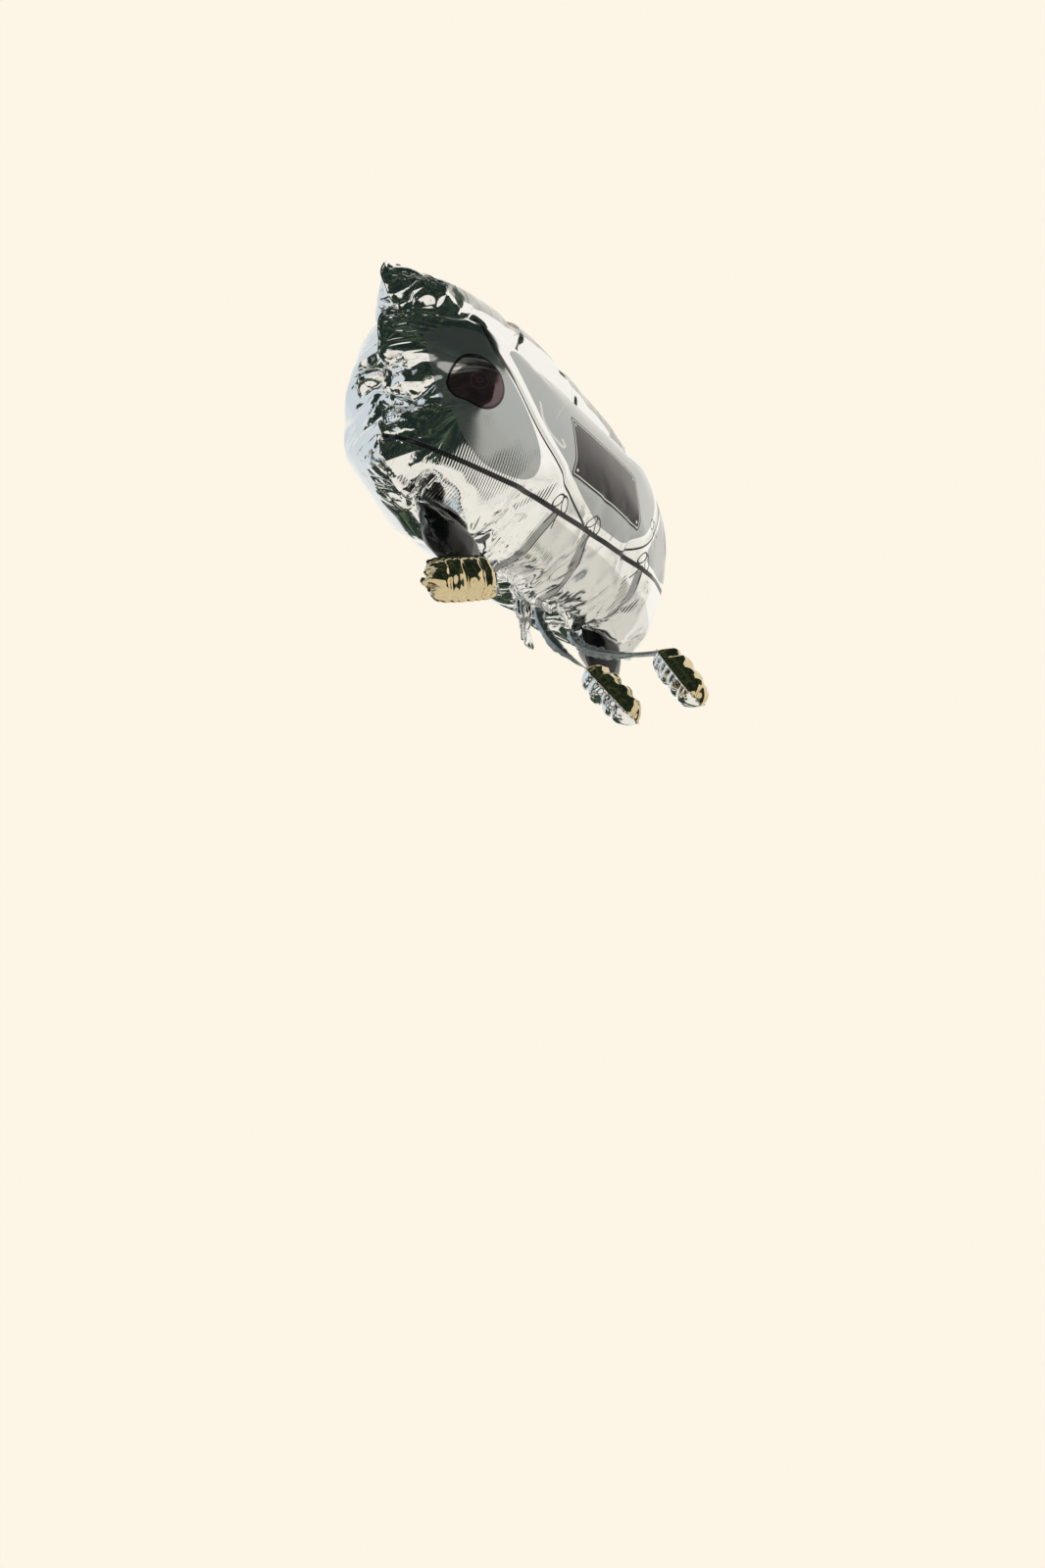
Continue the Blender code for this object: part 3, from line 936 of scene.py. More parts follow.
def bow_mask(finish, across, up, centre):
    """A bow drawn in one thin line: two loops, a knot and two ends."""
    right = across - centre[0]
    above = up - centre[1]
    mask = finish.inside(round_distance(across, up, centre, BOW_KNOT))
    below = finish.rise(above, -BOW_END_LENGTH - 0.0005, -BOW_END_LENGTH + 0.0005)
    below = below * finish.rise(above, 0.0, -0.001)
    for side in (-1, 1):
        x = right - side * BOW_LOOP[0]
        z = above - BOW_LOOP[1]
        turned_x = x * BOW_TURN[0] + z * (BOW_TURN[1] * side)
        turned_z = z * BOW_TURN[0] - x * (BOW_TURN[1] * side)
        ring = turned_x * turned_x / BOW_RADII[0] ** 2 + turned_z * turned_z / BOW_RADII[1] ** 2
        loop = finish.rise((ring ** 0.5 - 1.0).size() * 0.0070, 0.0013, 0.0007)
        end_away = (right - side * BOW_END_START + above * (BOW_END_LEAN * side)).size()
        mask = mask.at_least(loop).at_least(finish.rise(end_away, 0.0013, 0.0006) * below)
    return mask


def print_panels(finish, inks, colours):
    """The car's body panels, its window and what shows in it."""
    flat = finish.flat_place()
    across, up, _ = finish.split(flat)
    speckle = finish.grain(flat, 260.0, 2.0)
    slow = finish.grain(flat, 14.0, 3.0)
    bumper = finish.rise(up, 0.060, 0.056) * finish.rise(up, -0.030, -0.022)
    bumper = bumper * finish.rise(across, -0.100, -0.094)
    inks.lay(bumper * 0.5, colours.window_grey, 0.80, 0.16 + speckle * 0.08)
    tone = finish.mixed(slow, colours.panel_grey * 0.92, colours.panel_grey)
    for name in ("left_wing", "right_wing", "lid"):
        inks.lay(panel_mask(finish, name) * 0.94, tone, 0.72, 0.13 + speckle * 0.04)
    window = panel_mask(finish, "window")
    inks.lay(window * 0.94, colours.window_grey, 0.65, 0.15)
    for name in ("left_cushion", "right_cushion"):
        inks.lay(panel_mask(finish, name) * 0.85, colours.rose, 0.3, 0.3)
    for x in WINDOW_UPRIGHTS:
        upright = line_at(finish, across - x + (up - 0.42) * 0.08, 0.0007) * window
        inks.lay(upright, colours.ink_black, 0.2, 0.3)


def print_lines(finish, inks, colours):
    """The bands and bows on the bumper, and the lines round the lid and along the bumper, with a painted
    white highlight beside each lid line.
    """
    across, up, _ = finish.split(finish.flat_place())
    for name in ("left_band", "centre_band", "right_band"):
        mask = stroke_mask(finish, name, BAND_HALF)
        inks.lay(mask * 0.95, colours.strap_print, 0.60, 0.20)
        edge = line_at(finish, finish.written(name)[0] - 0.0064, 0.0008) * mask
        inks.lay(edge, colours.ink_black, 0.1, 0.25)
    inks.lay(stroke_mask(finish, "lid_highlight", 0.0025), colours.white_print_and_highlight, 0.6, 0.15)
    for name, inner in (("left_lid_line", 1.0), ("right_lid_line", -1.0)):
        away, along, whole = finish.written(name)
        taper = finish.rise(along, 0.125, 0.085)
        dark = stroke_mask(finish, name, 0.0016 + taper * 0.0036)
        # Painted highlight: a white band laid along the inner side of each lid line
        white = finish.rise((away * inner - 0.0062).size(), 0.0036, 0.0030)
        white = white * finish.rise(along, 0.085, 0.095) * finish.rise(whole - along, 0.05, 0.12)
        inks.lay(white * 0.9, colours.white_print_and_highlight, 0.6, 0.15)
        inks.lay(dark, colours.ink_black, 0.1, 0.2)
    inks.lay(stroke_mask(finish, "bumper_line", BUMPER_LINE_HALF), colours.ink_black * 2.5, 0.1, 0.25)
    for centre in BOWS:
        inks.lay(bow_mask(finish, across, up, centre), colours.ink_black, 0.1, 0.25)


def print_lamps(finish, inks, colours):
    """Dark round glass with fine rings in its middle, painted highlight streaks at its top and a black edge.
    """
    flat = finish.flat_place()
    across, up, _ = finish.split(flat)
    streaks = finish.rise(finish.grain(finish.stretched(flat, 14.0, 230.0), 1.0, 2.0), 0.42, 0.60)
    for centre in LAMPS:
        away = round_distance(across, up, centre, LAMP_RADII)
        rings = finish.rise((away * (2 * pi / 0.0075)).wave(), 0.90, 0.99) * finish.rise(away, -0.024, -0.028)
        glass = finish.mixed(rings * 0.75, colours.lamp, colours.rose)
        # Painted highlight: the pale streaks are laid only over the top of the lamp's glass
        lit = streaks * finish.rise(up - across * 0.12, centre[1] + 0.046, centre[1] + 0.050)
        glass = finish.mixed(lit * 0.8, glass, colours.white_print_and_highlight)
        inks.lay(finish.inside(away), glass, 0.70, 0.10)
        inks.lay(line_at(finish, away, 0.0017), colours.ink_black, 0.1, 0.2)


def print_plate(finish, inks, colours):
    """The blank number plate with its light line and four rivets."""
    across, up, _ = finish.split(finish.flat_place())
    plate = box_distance(across, up, PLATE_CENTRE, PLATE_HALF, PLATE_CORNER)
    inks.lay(finish.inside(plate), colours.plate, 0.5, 0.10)
    inks.lay(line_at(finish, plate + 0.0040, 0.0009), colours.white_print_and_highlight, 0.5, 0.2)
    corner = [half - RIVET_INSET for half in PLATE_HALF]
    rivet = round_distance(
        (across - PLATE_CENTRE[0]).size(), (up - PLATE_CENTRE[1]).size(), corner, RIVET_RADII)
    inks.lay(finish.inside(rivet), colours.white_print_and_highlight, 0.5, 0.2)


def printed_film(colours):
    """The front of the envelope: mirror film with a car's tail printed on it."""
    finish = new_finish("printed_film")
    flat = finish.flat_place()
    inks = Inks(finish, colours.silver, 1.0, 0.055 + finish.grain(flat, 14.0, 3.0) * 0.05)
    for lay_print in (print_panels, print_lines, print_lamps, print_plate):
        lay_print(finish, inks, colours)
    finish.shine(inks.colour, inks.metallic, inks.roughness, film_wrinkles(finish, flat, True, True))
    return finish.holder


def tyre_material(cut, colours):
    """Black film with a grey, finely striped tread on the outer part of its front: the stripes are printed
    tread, and the grey under them is painted light, drawn lighter than the black as if sunlit.
    """
    finish = new_finish("tyre_film")
    flat = finish.flat_place()
    across, up, _ = finish.split(flat)
    front = finish.node("ShaderNodeAttribute", {"attribute_name": "tread"}, {}, output="Fac")
    stripes = finish.rise(((across - up * 0.25) * (2 * pi / TREAD_PITCH)).wave(), -0.3, 0.3)
    tone = finish.mixed(stripes, colours.tread * 0.55, colours.tread)
    inks = Inks(finish, colours.ink_black, 0.0, 0.16 + finish.grain(flat, 30.0) * 0.08)
    # Painted light: the tread part is drawn grey, lighter than the black tyre as if sunlit; its stripes are
    # print
    inks.lay(finish.rise(front, 0.4, 0.6), tone, 0.5, 0.30)
    seam = (across * across / cut.bottom_half ** 2 - 1.0).at_most(0.0) * cut.bottom_arch
    inks.lay(finish.rise(seam - up, 0.011, 0.0105), colours.silver, 1.0, 0.07)
    wrinkles = film_wrinkles(finish, flat, False, False)
    finish.shine(inks.colour, inks.metallic, inks.roughness, wrinkles, glint=0.2)
    return finish.holder


def strap_material(colours):
    """Satin blue-grey film, with a painted sheen that makes it lighter along its welded edges and on its
    folds.
    """
    finish = new_finish("strap_film")
    flat = finish.flat_place()
    across = finish.split(flat)[0]
    folds = finish.rise(finish.grain(finish.stretched(flat, 30.0, 160.0), 1.0, 3.0), 0.55, 0.75)
    edge = finish.rise(((across / STRAP_GIRTH * 4.0 - 1.0).size() - 1.0).size(), 0.80, 0.94)
    # Painted sheen: the film is drawn lighter on its folds and along its welded edges
    tone = finish.mixed(
        folds.at_least(edge) * 0.5, colours.strap_film, colours.strap_film * 2.4)
    normal = finish.bump(folds, 0.35, 0.001)
    finish.shine(tone, 0.75, 0.24 + finish.grain(flat, 60.0) * 0.12, normal)
    return finish.holder


def ribbon_material(colours):
    """Satin ribbon with fine lines along it."""
    finish = new_finish("ribbon")
    across = finish.split(finish.flat_place())[0]
    lines = (across * (2 * pi / 0.0005)).wave()
    tone = finish.mixed(finish.rise(lines, -1.0, 1.0), colours.ribbon * 0.85, colours.ribbon)
    finish.shine(tone, 0.0, 0.35, finish.bump(lines, 0.2, 0.0002))
    return finish.holder


def floor_material(colour):
    """Pale matt floor with a faint mottle."""
    finish = new_finish("pale_floor")
    mottle = finish.grain(finish.place(), 1.5, 3.0)
    tone = finish.mixed(mottle, colour * 0.97, colour)
    finish.shine(tone, 0.0, 0.8)
    return finish.holder


# Straps, cans, neck and tie


def joint(name):
    return next(item for item in frame["joints"] if item["name"] == name)


class StrapLine:
    """The middle line of a strap, from its swing on the bottom seam to its can's bend."""

    def __init__(self, name, cut):
        swing = joint(name + "_strap_swing")
        bend = joint(name + "_can_bend")
        self.start = Vector(swing["pos_m"])
        self.run = Vector(swing["axis"])
        self.end = Vector(bend["pos_m"])
        self.crease = Vector(bend["axis"])
        self.corner = self.start + Vector((self.run.z, 0, -self.run.x)) * cut.strap_drop

    def at(self, share):
        return self.start.lerp(self.corner, share).lerp(self.corner.lerp(self.end, share), share)

    def axes(self, share):
        """The directions along the strap, across it and through it."""
        step = 0.01
        ahead = (self.at(min(1.0, share + step)) - self.at(max(0.0, share - step))).normalized()
        across = self.run.lerp(self.crease, share)
        across = (across - ahead * across.dot(ahead)).normalized()
        return ahead, across, ahead.cross(across)


def tube_of(place, around, along, girth, length):
    """A grid that is rolled into a closed tube: place gives a point for its shares round and along it."""
    tube = bmesh.new()
    bmesh.ops.create_grid(tube, x_segments=around, y_segments=along, size=0.5)
    uv = tube.loops.layers.uv.new("Flat")
    for face in tube.faces:
        face.smooth = True
        for loop in face.loops:
            loop[uv].uv = ((loop.vert.co.x + 0.5) * girth, (loop.vert.co.y + 0.5) * length)
    for vert in tube.verts:
        vert.co = place(vert.co.x + 0.5, vert.co.y + 0.5)
    bmesh.ops.remove_doubles(tube, verts=tube.verts, dist=1e-6)
    bmesh.ops.holes_fill(tube, edges=[edge for edge in tube.edges if edge.is_boundary], sides=0)
    bmesh.ops.recalc_face_normals(tube, faces=tube.faces)
    return tube


def strap_tube(name, cut):
    """A flat film tube with pinched welds and cross folds, along its strap's line."""
    line = StrapLine(name, cut)
    seed = STRAP_SEEDS[name]
    length = (line.end - line.start).length

    def place(turn, share):
        ahead, across, through = line.axes(share)
        side = -cos(2 * pi * turn)
        face = 1 if turn < 0.5 else -1
        fold = noise.noise(Vector((share * length * 120, side * 0.8 + seed, face * 0.7)))
        wave = noise.noise(Vector((share * length * 45, seed * 3, 0)))
        full = max(0.0, 1 - (side / 0.84) ** 2) ** 0.7
        ends = min(1.0, share * 9 + 0.25, (1 - share) * 2.2 + 0.05)
        depth = cut.strap_half_depth * (0.95 + 0.45 * fold) * full * ends + 0.00012
        reach = cut.strap_half_width * (0.96 + 0.10 * wave)
        return line.at(share) + across * side * reach + through * (face * depth + 0.0012 * wave * ends)

    return tube_of(place, 24, 72, STRAP_GIRTH, length)


def can_direction(name, line):
    """The way a can points: from its bend to the middle of its two packed halves."""
    corners = []
    for half in ("_front", "_back"):
        corners += [vert.co for vert in frame["nodes"]["can_" + name + half].data.vertices]
    middle = Vector()
    for corner in corners:
        middle += corner / len(corners)
    along = middle - line.end
    return (along - line.crease * along.dot(line.crease)).normalized()


def can_half_width(cut, share):
    """A can's half width along its length, narrower at both ends."""
    shoulder = sqrt(max(0.0, 1 - abs(2 * share - 1) ** 4))
    return cut.can_half_width * (0.62 + 0.38 * shoulder)


def flat_cans(cut):
    """Three flat sheets side by side, one for each can."""
    cans = bmesh.new()
    number = cans.faces.layers.int.new(TAB)
    columns = 2 * round(cut.can_half_width / CAN_CELL)
    rows = round(cut.can_length / CAN_CELL)
    for index in range(len(TRAILERS)):
        made = bmesh.ops.create_grid(cans, x_segments=columns, y_segments=rows, size=0.5)
        for vert in made["verts"]:
            across = index * CAN_SPACING + vert.co.x * 2 * cut.can_half_width
            vert.co = (across, 0, (vert.co.y + 0.5) * cut.can_length)
            for face in vert.link_faces:
                face[number] = index
    return cans


def can_point(cut, across, share, seed):
    """A can's point, across, along and out: full ribs, creases between them and pleats at the welds."""
    shoulder = sqrt(max(0.0, 1 - abs(2 * share - 1) ** 4.5))
    half = can_half_width(cut, share)
    side_phase = share * SIDE_PLEATS + 0.35 * noise.noise(Vector((share * 9, seed, across)))
    side_valley = 1 - abs(sin(pi * side_phase))
    end_phase = (across + 1) * END_PLEATS / 2 + 0.3 * noise.noise(Vector((across * 4, seed * 2, share)))
    end_valley = 1 - abs(sin(pi * end_phase))
    crease = abs(cos(pi * CAN_RIBS * share)) ** 4 if 0.1 < share < 0.9 else 0.0
    full = max(0.0, 1 - abs(across) ** 2.6) ** 0.60
    facet = abs(noise.noise(Vector((across * 1.3, share * 2.6, seed * 4))))
    out = cut.can_depth * shoulder ** 1.2 * full * (1 - cut.crease_depth * crease)
    to_end = abs(2 * share - 1) ** 8
    out *= 1 - 0.20 * side_valley ** 1.6 * abs(across) ** 3 - 0.35 * end_valley ** 1.5 * to_end
    out *= (1 - 0.34 * facet) * min(1.0, 0.30 + share * 7)
    x = across * half * (1 - 0.05 * side_valley * abs(across) ** 4)
    tip = cut.can_tail * max(0.0, 1 - abs(across) / 0.35) * share ** 10
    along = cut.can_length * share + tip - 0.004 * end_valley * (2 * share - 1) * to_end
    return x, along, out


def can_places(film, cut):
    """Gives each can its filled shape in its own place at the end of its strap."""
    number = film.faces.layers.int[TAB]
    flat = film.verts.layers.float_vector[FLAT]
    ways = [StrapLine(name, cut) for name in TRAILERS]
    for vert in film.verts:
        index = vert.link_faces[0][number]
        line = ways[index]
        length = can_direction(TRAILERS[index], line)
        width = line.crease
        face = length.cross(width)
        across = (vert[flat].x - index * CAN_SPACING) / cut.can_half_width
        share = vert[flat].z / cut.can_length
        seed = STRAP_SEEDS[TRAILERS[index]] + (3.7 if vert.co.y > 0 else 0.0)
        x, along, out = can_point(cut, across, share, seed)
        side = 1 if vert.co.y < 0 else -1 if vert.co.y > 0 else 0
        vert.co = line.end + length * (cut.seam_gap + along) - width * x + face * (out * side)
        vert[flat] = (across * cut.can_half_width, 0, vert[flat].z)


def neck_tube(cut):
    """The gathered filling tube, from the bottom seam to the tie, and its flat tail."""
    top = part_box("neck")[1].z
    radius = cut.neck_radius
    # Each ring: its share of the length, its height, its half widths across and through, and its gathers
    rings = (
        (0.0, top + 0.004, cut.top_half * 1.15, 0.0008, 0.0), (0.06, top, cut.top_half, 0.0020, 0.10),
        (0.20, top * 0.80, cut.top_half * 0.60, radius * 0.9, 0.22),
        (0.38, top * 0.50, radius * 1.5, radius * 1.2, 0.30),
        (0.52, top * 0.22, radius * 1.25, radius * 1.2, 0.32),
        (0.60, 0.003, radius * 0.80, radius * 0.80, 0.20), (0.64, 0.0, radius * 0.66, radius * 0.66, 0.12),
        (0.68, -0.003, radius * 0.85, radius * 0.8, 0.20),
        (0.82, -cut.tail_length * 0.45, cut.tail_half * 0.8, radius * 0.42, 0.30),
        (1.0, -cut.tail_length, cut.tail_half, 0.0012, 0.10))

    def place(turn, share):
        index = 0
        while index < len(rings) - 2 and share > rings[index + 1][0]:
            index += 1
        first, second = rings[index], rings[index + 1]
        part = (share - first[0]) / (second[0] - first[0])
        part = part * part * (3 - 2 * part)
        height, half_x, half_y, pleat = (a + (b - a) * part for a, b in zip(first[1:], second[1:]))
        angle = 2 * pi * turn
        fold = cos(9 * angle + 4 * noise.noise(Vector((cos(angle), sin(angle), height * 60))))
        dent = noise.noise(Vector((cos(angle) * 2, sin(angle) * 2, height * 90)))
        swell = 1 + pleat * fold * 0.5 + 0.15 * dent
        below = max(0.0, (share - 0.7) / 0.3)
        x = half_x * cos(angle) * (swell if share > 0.1 else 1)
        sway = 0.0042 * below * sin(x / 0.0165 * 2.6 + 0.6)
        return Vector((x, half_y * sin(angle) * swell + sway, height + 0.004 * below * cos(x / 0.0165 * 3)))

    return tube_of(place, 72, 64, 0.08, 0.09)


def wound_ribbon(cut):
    """Two and a half turns of ribbon round the neck, a knot over them and its two short ends."""
    tie = bmesh.new()
    uv = tie.loops.layers.uv.new("Flat")
    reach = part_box("ribbon_tie")[1].x - cut.ribbon_half_width

    def swept(centre, radius, axis, angle, rise, steps, start):
        circle = bmesh.ops.create_circle(tie, segments=10, radius=cut.ribbon_half_width, cap_ends=False)
        section = circle["verts"]
        bmesh.ops.scale(tie, verts=section, vec=(0.45, 1, 1))
        bmesh.ops.rotate(tie, verts=section, cent=(0, 0, 0), matrix=Matrix.Rotation(pi / 2, 3, "X"))
        bmesh.ops.translate(tie, verts=section, vec=(radius, 0, 0))
        upright = Vector((0, 0, 1)).rotation_difference(Vector(axis)).to_matrix()
        bmesh.ops.rotate(tie, verts=section, cent=(0, 0, 0), matrix=upright @ Matrix.Rotation(start, 3, "Z"))
        bmesh.ops.translate(tie, verts=section, vec=centre)
        edges = {edge for vert in section for edge in vert.link_edges}
        bmesh.ops.spin(
            tie, geom=list(section) + list(edges), cent=centre, axis=axis, dvec=Vector(axis) * (rise / steps),
            angle=angle, steps=steps, use_merge=False, use_duplicate=False)

    swept(Vector((0, 0, -0.0022)), reach - 0.0004, (0, 0, 1), 2 * pi * RIBBON_TURNS, 0.0044, 60, 0.0)
    front = Vector((-0.6, -0.8, 0)) * (reach + 0.0002)
    swept(front, 0.0030, (0.8, -0.6, 0), 1.9 * pi, 0.0012, 20, 0.3)
    swept(front + Vector((-0.0015, -0.0005, -0.008)), 0.0085, (0.55, -0.75, 0.37), 0.75 * pi, 0.001, 14, 0.2)
    swept(front + Vector((0.002, -0.0025, -0.009)), 0.0090, (-0.75, 0.60, 0.28), 0.70 * pi, 0.001, 14, 2.6)
    bmesh.ops.holes_fill(tie, edges=[edge for edge in tie.edges if edge.is_boundary], sides=0)
    bmesh.ops.recalc_face_normals(tie, faces=tie.faces)
    for face in tie.faces:
        face.smooth = True
        for loop in face.loops:
            loop[uv].uv = (loop.vert.co.z, loop.vert.co.x)
    return tie


def write_rim(part):
    """Writes how far each point of a sheet lies from its welded rim, and where along the rim."""
    flat = part.verts.layers.float_vector[FLAT]
    outward = part.verts.layers.float_vector[OUTWARD]
    layer = part.verts.layers.float_vector.new(RIM)
    rim = [vert[flat].copy() for vert in part.verts if vert[outward].length > 0.5]
    rim.sort(key=lambda place: atan2(place.x, 0.2 - place.z))
    tree = KDTree(len(rim))
    runs = [0.0]
    for index, place in enumerate(rim):
        tree.insert(place, index)
        if index:
            runs.append(runs[-1] + min((place - rim[index - 1]).length, 0.02))
    tree.balance()
    for vert in part.verts:
        _, index, away = tree.find(vert[flat])
        along = runs[index]
        for other in (max(index - 1, 0), min(index + 1, len(rim) - 1)):
            way = rim[other] - rim[index]
            share = (vert[flat] - rim[index]).dot(way) / max(way.length_squared, 1e-9)
            if 0 < share < 1 and way.length < 0.02:
                along = runs[index] + (runs[other] - runs[index]) * share
                away = (vert[flat] - rim[index] - way * share).length
        vert[layer] = (away, along, 0)


def write_sunlit_tread(part, reach):
    """Marks the part of a tyre's front that carries the printed tread, on a grey painted lighter as if
    sunlit.
    """
    flat = part.verts.layers.float_vector[FLAT]
    tread = part.verts.layers.float.new("tread")
    start = reach[0] + (reach[1] - reach[0]) * SUNLIT_TREAD_FROM
    for vert in part.verts:
        vert[tread] = min(max((vert[flat].x - start) / 0.010 + 0.5, 0.0), 1.0)


class MakeEnvelope(bpy.types.Operator):
    """Cut, weld and blow up the envelope, with its tyres"""

    bl_idname = "foil_balloon.make_envelope"
    bl_label = "Make envelope"

    def execute(self, context):
        cut = context.scene.foil_envelope
        colours = context.scene.foil_colours
        cell = CELL
        film = flat_sheet(cut, cell)
        welded_pair(film)
        film = in_fixed_order(film)
        add_ties(film, cut, cell)
        ripple_rim(film)
        film = blown_up(film, cut.pressure, cut.frames)
        if not film.faces:
            raise RuntimeError("the envelope didn't blow up")
        set_in_frame(film, cut)
        mark_rim(film, lambda vert: Vector((0, -1, 0)))
        silver = mirror_film("silver_film", colours.silver, 0.05, True)
        fronts = cut_out(film, FRONT, BODY, cut.weld_width, cut.film)
        write_print(fronts)
        write_rim(fronts)
        printed = printed_film(colours)
        front = add_piece("front_film", [fronts], "envelope", ["front_panel"], printed)
        finish_film(front, cut.film)
        backs = cut_out(film, BACK, BODY, cut.weld_width, cut.film)
        write_rim(backs)
        back = add_piece("back_film", [backs], "envelope", ["back_panel"], silver)
        finish_film(back, cut.film)
        black = tyre_material(cut, colours)
        for mark, word, reach in ((LEFT_TYRE, "left", cut.left_tyre), (RIGHT_TYRE, "right", cut.right_tyre)):
            parts = [cut_out(film, sheet, mark, cut.weld_width, cut.film) for sheet in (FRONT, BACK)]
            write_sunlit_tread(parts[0], reach)
            tyre = add_piece("tyre_film_" + word, parts, "envelope", ["tyre_" + word], black)
            finish_film(tyre, cut.film)
        film.free()
        return {"FINISHED"}


class MakeStraps(bpy.types.Operator):
    """Make the three film straps"""

    bl_idname = "foil_balloon.make_straps"
    bl_label = "Make straps"

    def execute(self, context):
        cut = context.scene.foil_trailers
        material = strap_material(context.scene.foil_colours)
        for name in TRAILERS:
            tube = strap_tube(name, cut)
            if not tube.faces:
                raise RuntimeError("no strap was made")
            body = name + "_strap"
            add_piece("strap_film_" + name, [tube], body, ["strap_" + name], material)
        return {"FINISHED"}


class MakeCans(bpy.types.Operator):
    """Weld and shape the three cans, gold on one side and silver on the other"""

    bl_idname = "foil_balloon.make_cans"
    bl_label = "Make cans"

    def execute(self, context):
        cut = context.scene.foil_trailers
        colours = context.scene.foil_colours
        thickness = context.scene.foil_envelope.film
        film = flat_cans(cut)
        welded_pair(film)
        film = in_fixed_order(film)
        if not film.faces:
            raise RuntimeError("the cans have no faces")
        can_places(film, cut)
        number = film.faces.layers.int[TAB]
        ways = []
        for name in TRAILERS:
            line = StrapLine(name, cut)
            ways.append(can_direction(name, line).cross(line.crease))
        mark_rim(film, lambda vert: ways[vert.link_faces[0][number]])
        gold = mirror_film("gold_film", colours.gold, 0.07, False)
        silver = mirror_film("can_silver_film", colours.silver, 0.06, False)
        for index, name in enumerate(TRAILERS):
            for sheet, word, material in ((FRONT, "front", gold), (BACK, "back", silver)):
                part = cut_out(film, sheet, index, cut.can_weld, thickness)
                slot = "gold_film" if sheet == FRONT else "silver_film"
                node = "can_" + name + "_" + word
                can = add_piece(slot + "_" + name + "_can", [part], name + "_can", [node], material)
                finish_film(can, thickness)
        film.free()
        return {"FINISHED"}


class MakeNeck(bpy.types.Operator):
    """Make the gathered neck and the ribbon that ties it"""

    bl_idname = "foil_balloon.make_neck"
    bl_label = "Make neck"

    def execute(self, context):
        cut = context.scene.foil_neck
        colours = context.scene.foil_colours
        tube = neck_tube(cut)
        ribbon = wound_ribbon(cut)
        if not tube.faces or not ribbon.faces:
            raise RuntimeError("the neck or its ribbon has no faces")
        silver = mirror_film("neck_film", colours.silver, 0.10, False)
        add_piece("gathered_neck", [tube], "envelope", ["neck"], silver)
        add_piece("wound_ribbon", [ribbon], "envelope", ["ribbon_tie"], ribbon_material(colours))
        return {"FINISHED"}


def light_the_room(world, stage):
    """A pale backdrop for the camera, and for the film a bright room with dark mottled screens in it."""
    room = Finish(world)
    way = room.node("ShaderNodeTexCoord", {}, {}, output="Generated")
    x, y, z = room.split(way)
    clumps = room.grain(way, 3.2, 4.0, 0.6)
    leaves = room.grain(way, 16.0, 5.0, 0.7)
    ragged = (clumps - 0.5) * 0.45 + (leaves - 0.5) * 0.12
    beside = room.rise(ragged * 0.5 - x + z.at_least(0.0) * 0.45, -0.20, -0.16)
    beside = beside * room.rise(ragged * 0.5 - y, -0.08, -0.04)
    beside = beside * room.rise(z + x.at_most(0.0) * 0.4 + ragged * 0.5, -0.72, -0.68)
    above = room.rise(x * -0.50 + y * 0.05 + z * 0.86 + ragged * 0.3, 0.905, 0.925)
    far = room.rise(y - z.size() * 0.3 + ragged, 0.24, 0.30) * room.rise(z + ragged, 0.12, 0.08)
    far = far * room.rise(clumps, 0.44, 0.50)
    screen = beside.at_least(above).at_least(far)
    cool = room.rise(y * 0.80 - x * 0.60, -0.2, 0.75)
    flecks = room.rise(leaves * 0.6 + clumps * 0.4, 0.50, 0.66)
    wall = room.mixed(cool, stage.bright_wall, stage.cool_wall)
    patches = room.rise(room.grain(way, 5.0, 5.0, 0.65), 0.54, 0.68)
    ground = room.mixed(patches * 0.8, stage.pale_ground, stage.grey_ground)
    surround = room.mixed(room.rise(z, -0.02, -0.03), wall, ground)
    dark = room.mixed(flecks, stage.dark_screen, stage.screen_light)
    surround = room.mixed(screen, surround, dark)
    camera_sees = room.node("ShaderNodeLightPath", {}, {}, output="Is Camera Ray")
    feed(room.tree.nodes["Background"].inputs["Color"], room.mixed(camera_sees, surround, stage.backdrop))


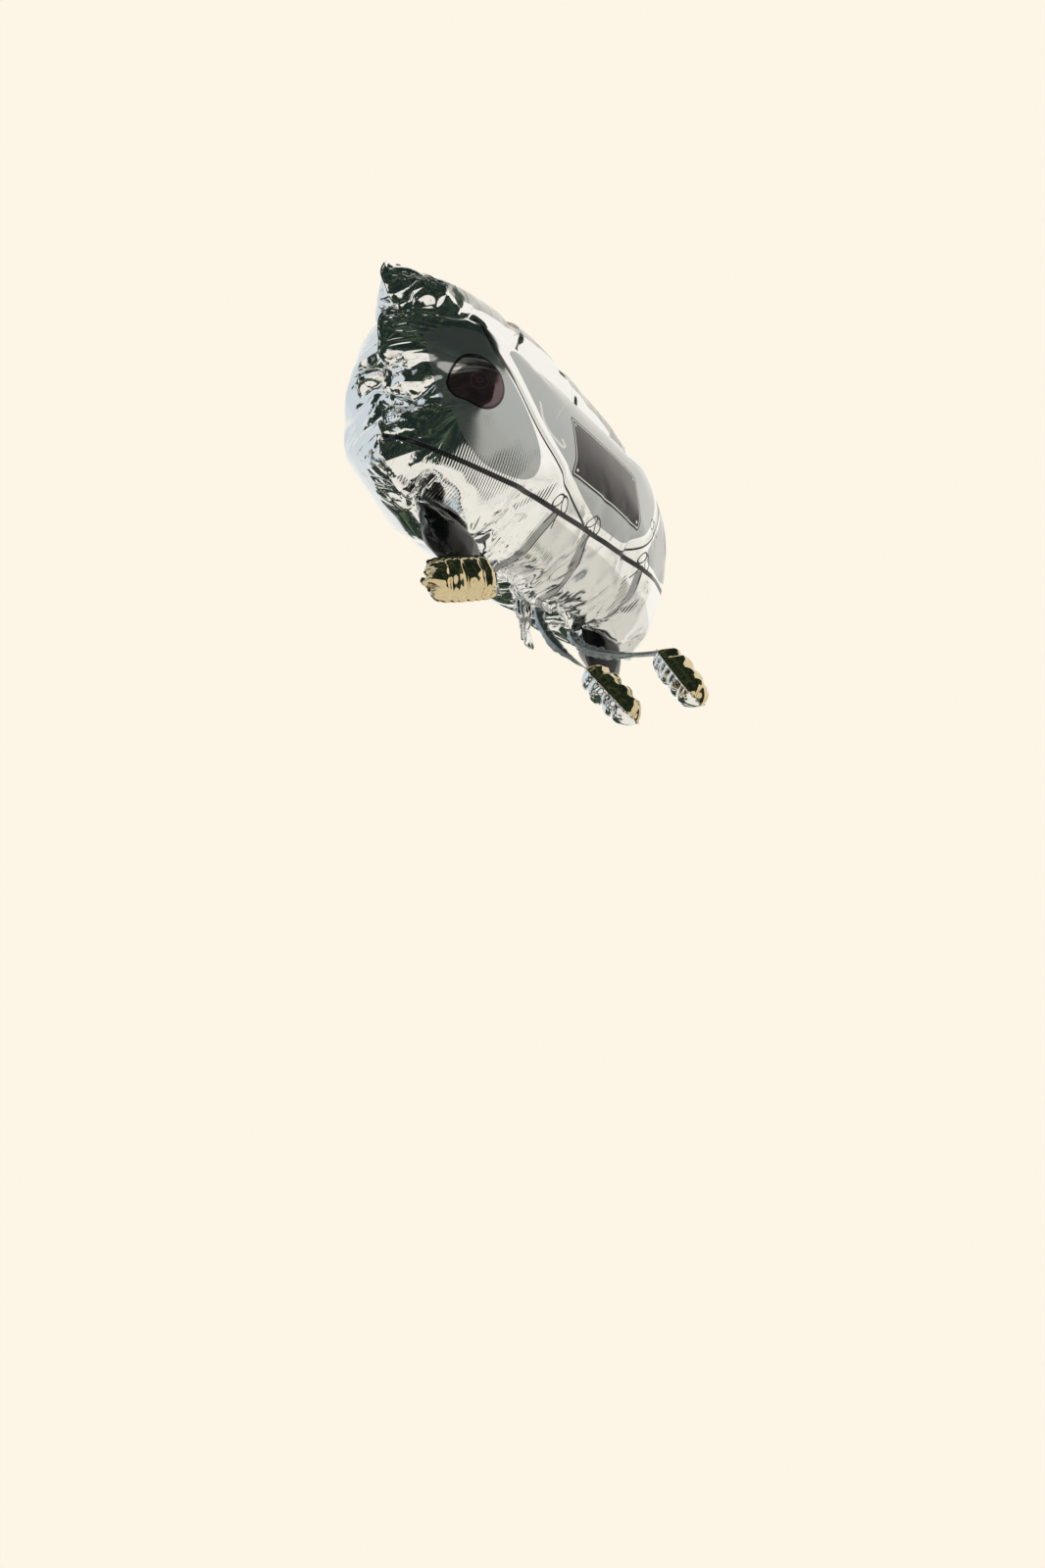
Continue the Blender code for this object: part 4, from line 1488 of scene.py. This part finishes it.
class MakeStage(bpy.types.Operator):
    """Set up the camera, the floor and the light"""

    bl_idname = "foil_balloon.make_stage"
    bl_label = "Make stage"

    def execute(self, context):
        stage = context.scene.foil_stage
        lens = bpy.data.cameras.new("photo_camera")
        lens.sensor_fit = "HORIZONTAL"
        lens.sensor_width = 24
        lens.lens = stage.focal_length
        camera = bpy.data.objects.new("photo_camera", lens)
        camera.location = stage.camera_place
        camera.rotation_euler = stage.camera_turn
        context.scene.collection.objects.link(camera)
        context.scene.camera = camera
        ground = bmesh.new()
        bmesh.ops.create_grid(ground, x_segments=1, y_segments=1, size=stage.floor_size / 2)
        bmesh.ops.translate(ground, verts=ground.verts, vec=(0, 0, stage.floor_height))
        mesh = bpy.data.meshes.new("floor")
        ground.to_mesh(mesh)
        ground.free()
        if not mesh.polygons:
            raise RuntimeError("the floor has no faces")
        mesh.materials.append(floor_material(stage.floor_colour))
        floor = bpy.data.objects.new("floor", mesh)
        context.scene.collection.objects.link(floor)
        floor.visible_glossy = False
        world = bpy.data.worlds.new("soft_room")
        context.scene.world = world
        light_the_room(world, stage)
        context.scene.view_settings.view_transform = "Standard"
        return {"FINISHED"}


class BalloonPanel(bpy.types.Panel):
    """The balloon's pieces, in the sidebar"""

    bl_idname = "FOILBALLOON_PT_pieces"
    bl_label = "Foil balloon"
    bl_space_type = "VIEW_3D"
    bl_region_type = "UI"
    bl_category = "Foil balloon"

    def draw(self, context):
        for name in GROUPS:
            group = getattr(context.scene, name)
            box = self.layout.box()
            for setting in group.__annotations__:
                box.prop(group, setting)
        for operator in OPERATORS:
            self.layout.operator(operator.bl_idname)


GROUPS = {
    "foil_envelope": EnvelopeCut,
    "foil_trailers": TrailerCut,
    "foil_neck": NeckCut,
    "foil_colours": FilmColours,
    "foil_stage": StageSettings,
}
OPERATORS = (MakeStage, MakeEnvelope, MakeStraps, MakeCans, MakeNeck)
CLASSES = (*GROUPS.values(), *OPERATORS, BalloonPanel)


def register():
    for item in CLASSES:
        bpy.utils.register_class(item)
    for name, group in GROUPS.items():
        setattr(bpy.types.Scene, name, PointerProperty(type=group))


def unregister():
    for name in GROUPS:
        delattr(bpy.types.Scene, name)
    for item in reversed(CLASSES):
        bpy.utils.unregister_class(item)


def main():
    register()
    bpy.ops.foil_balloon.make_stage()
    bpy.ops.foil_balloon.make_envelope()
    bpy.ops.foil_balloon.make_straps()
    bpy.ops.foil_balloon.make_cans()
    bpy.ops.foil_balloon.make_neck()


if __name__ == "__main__":
    main()
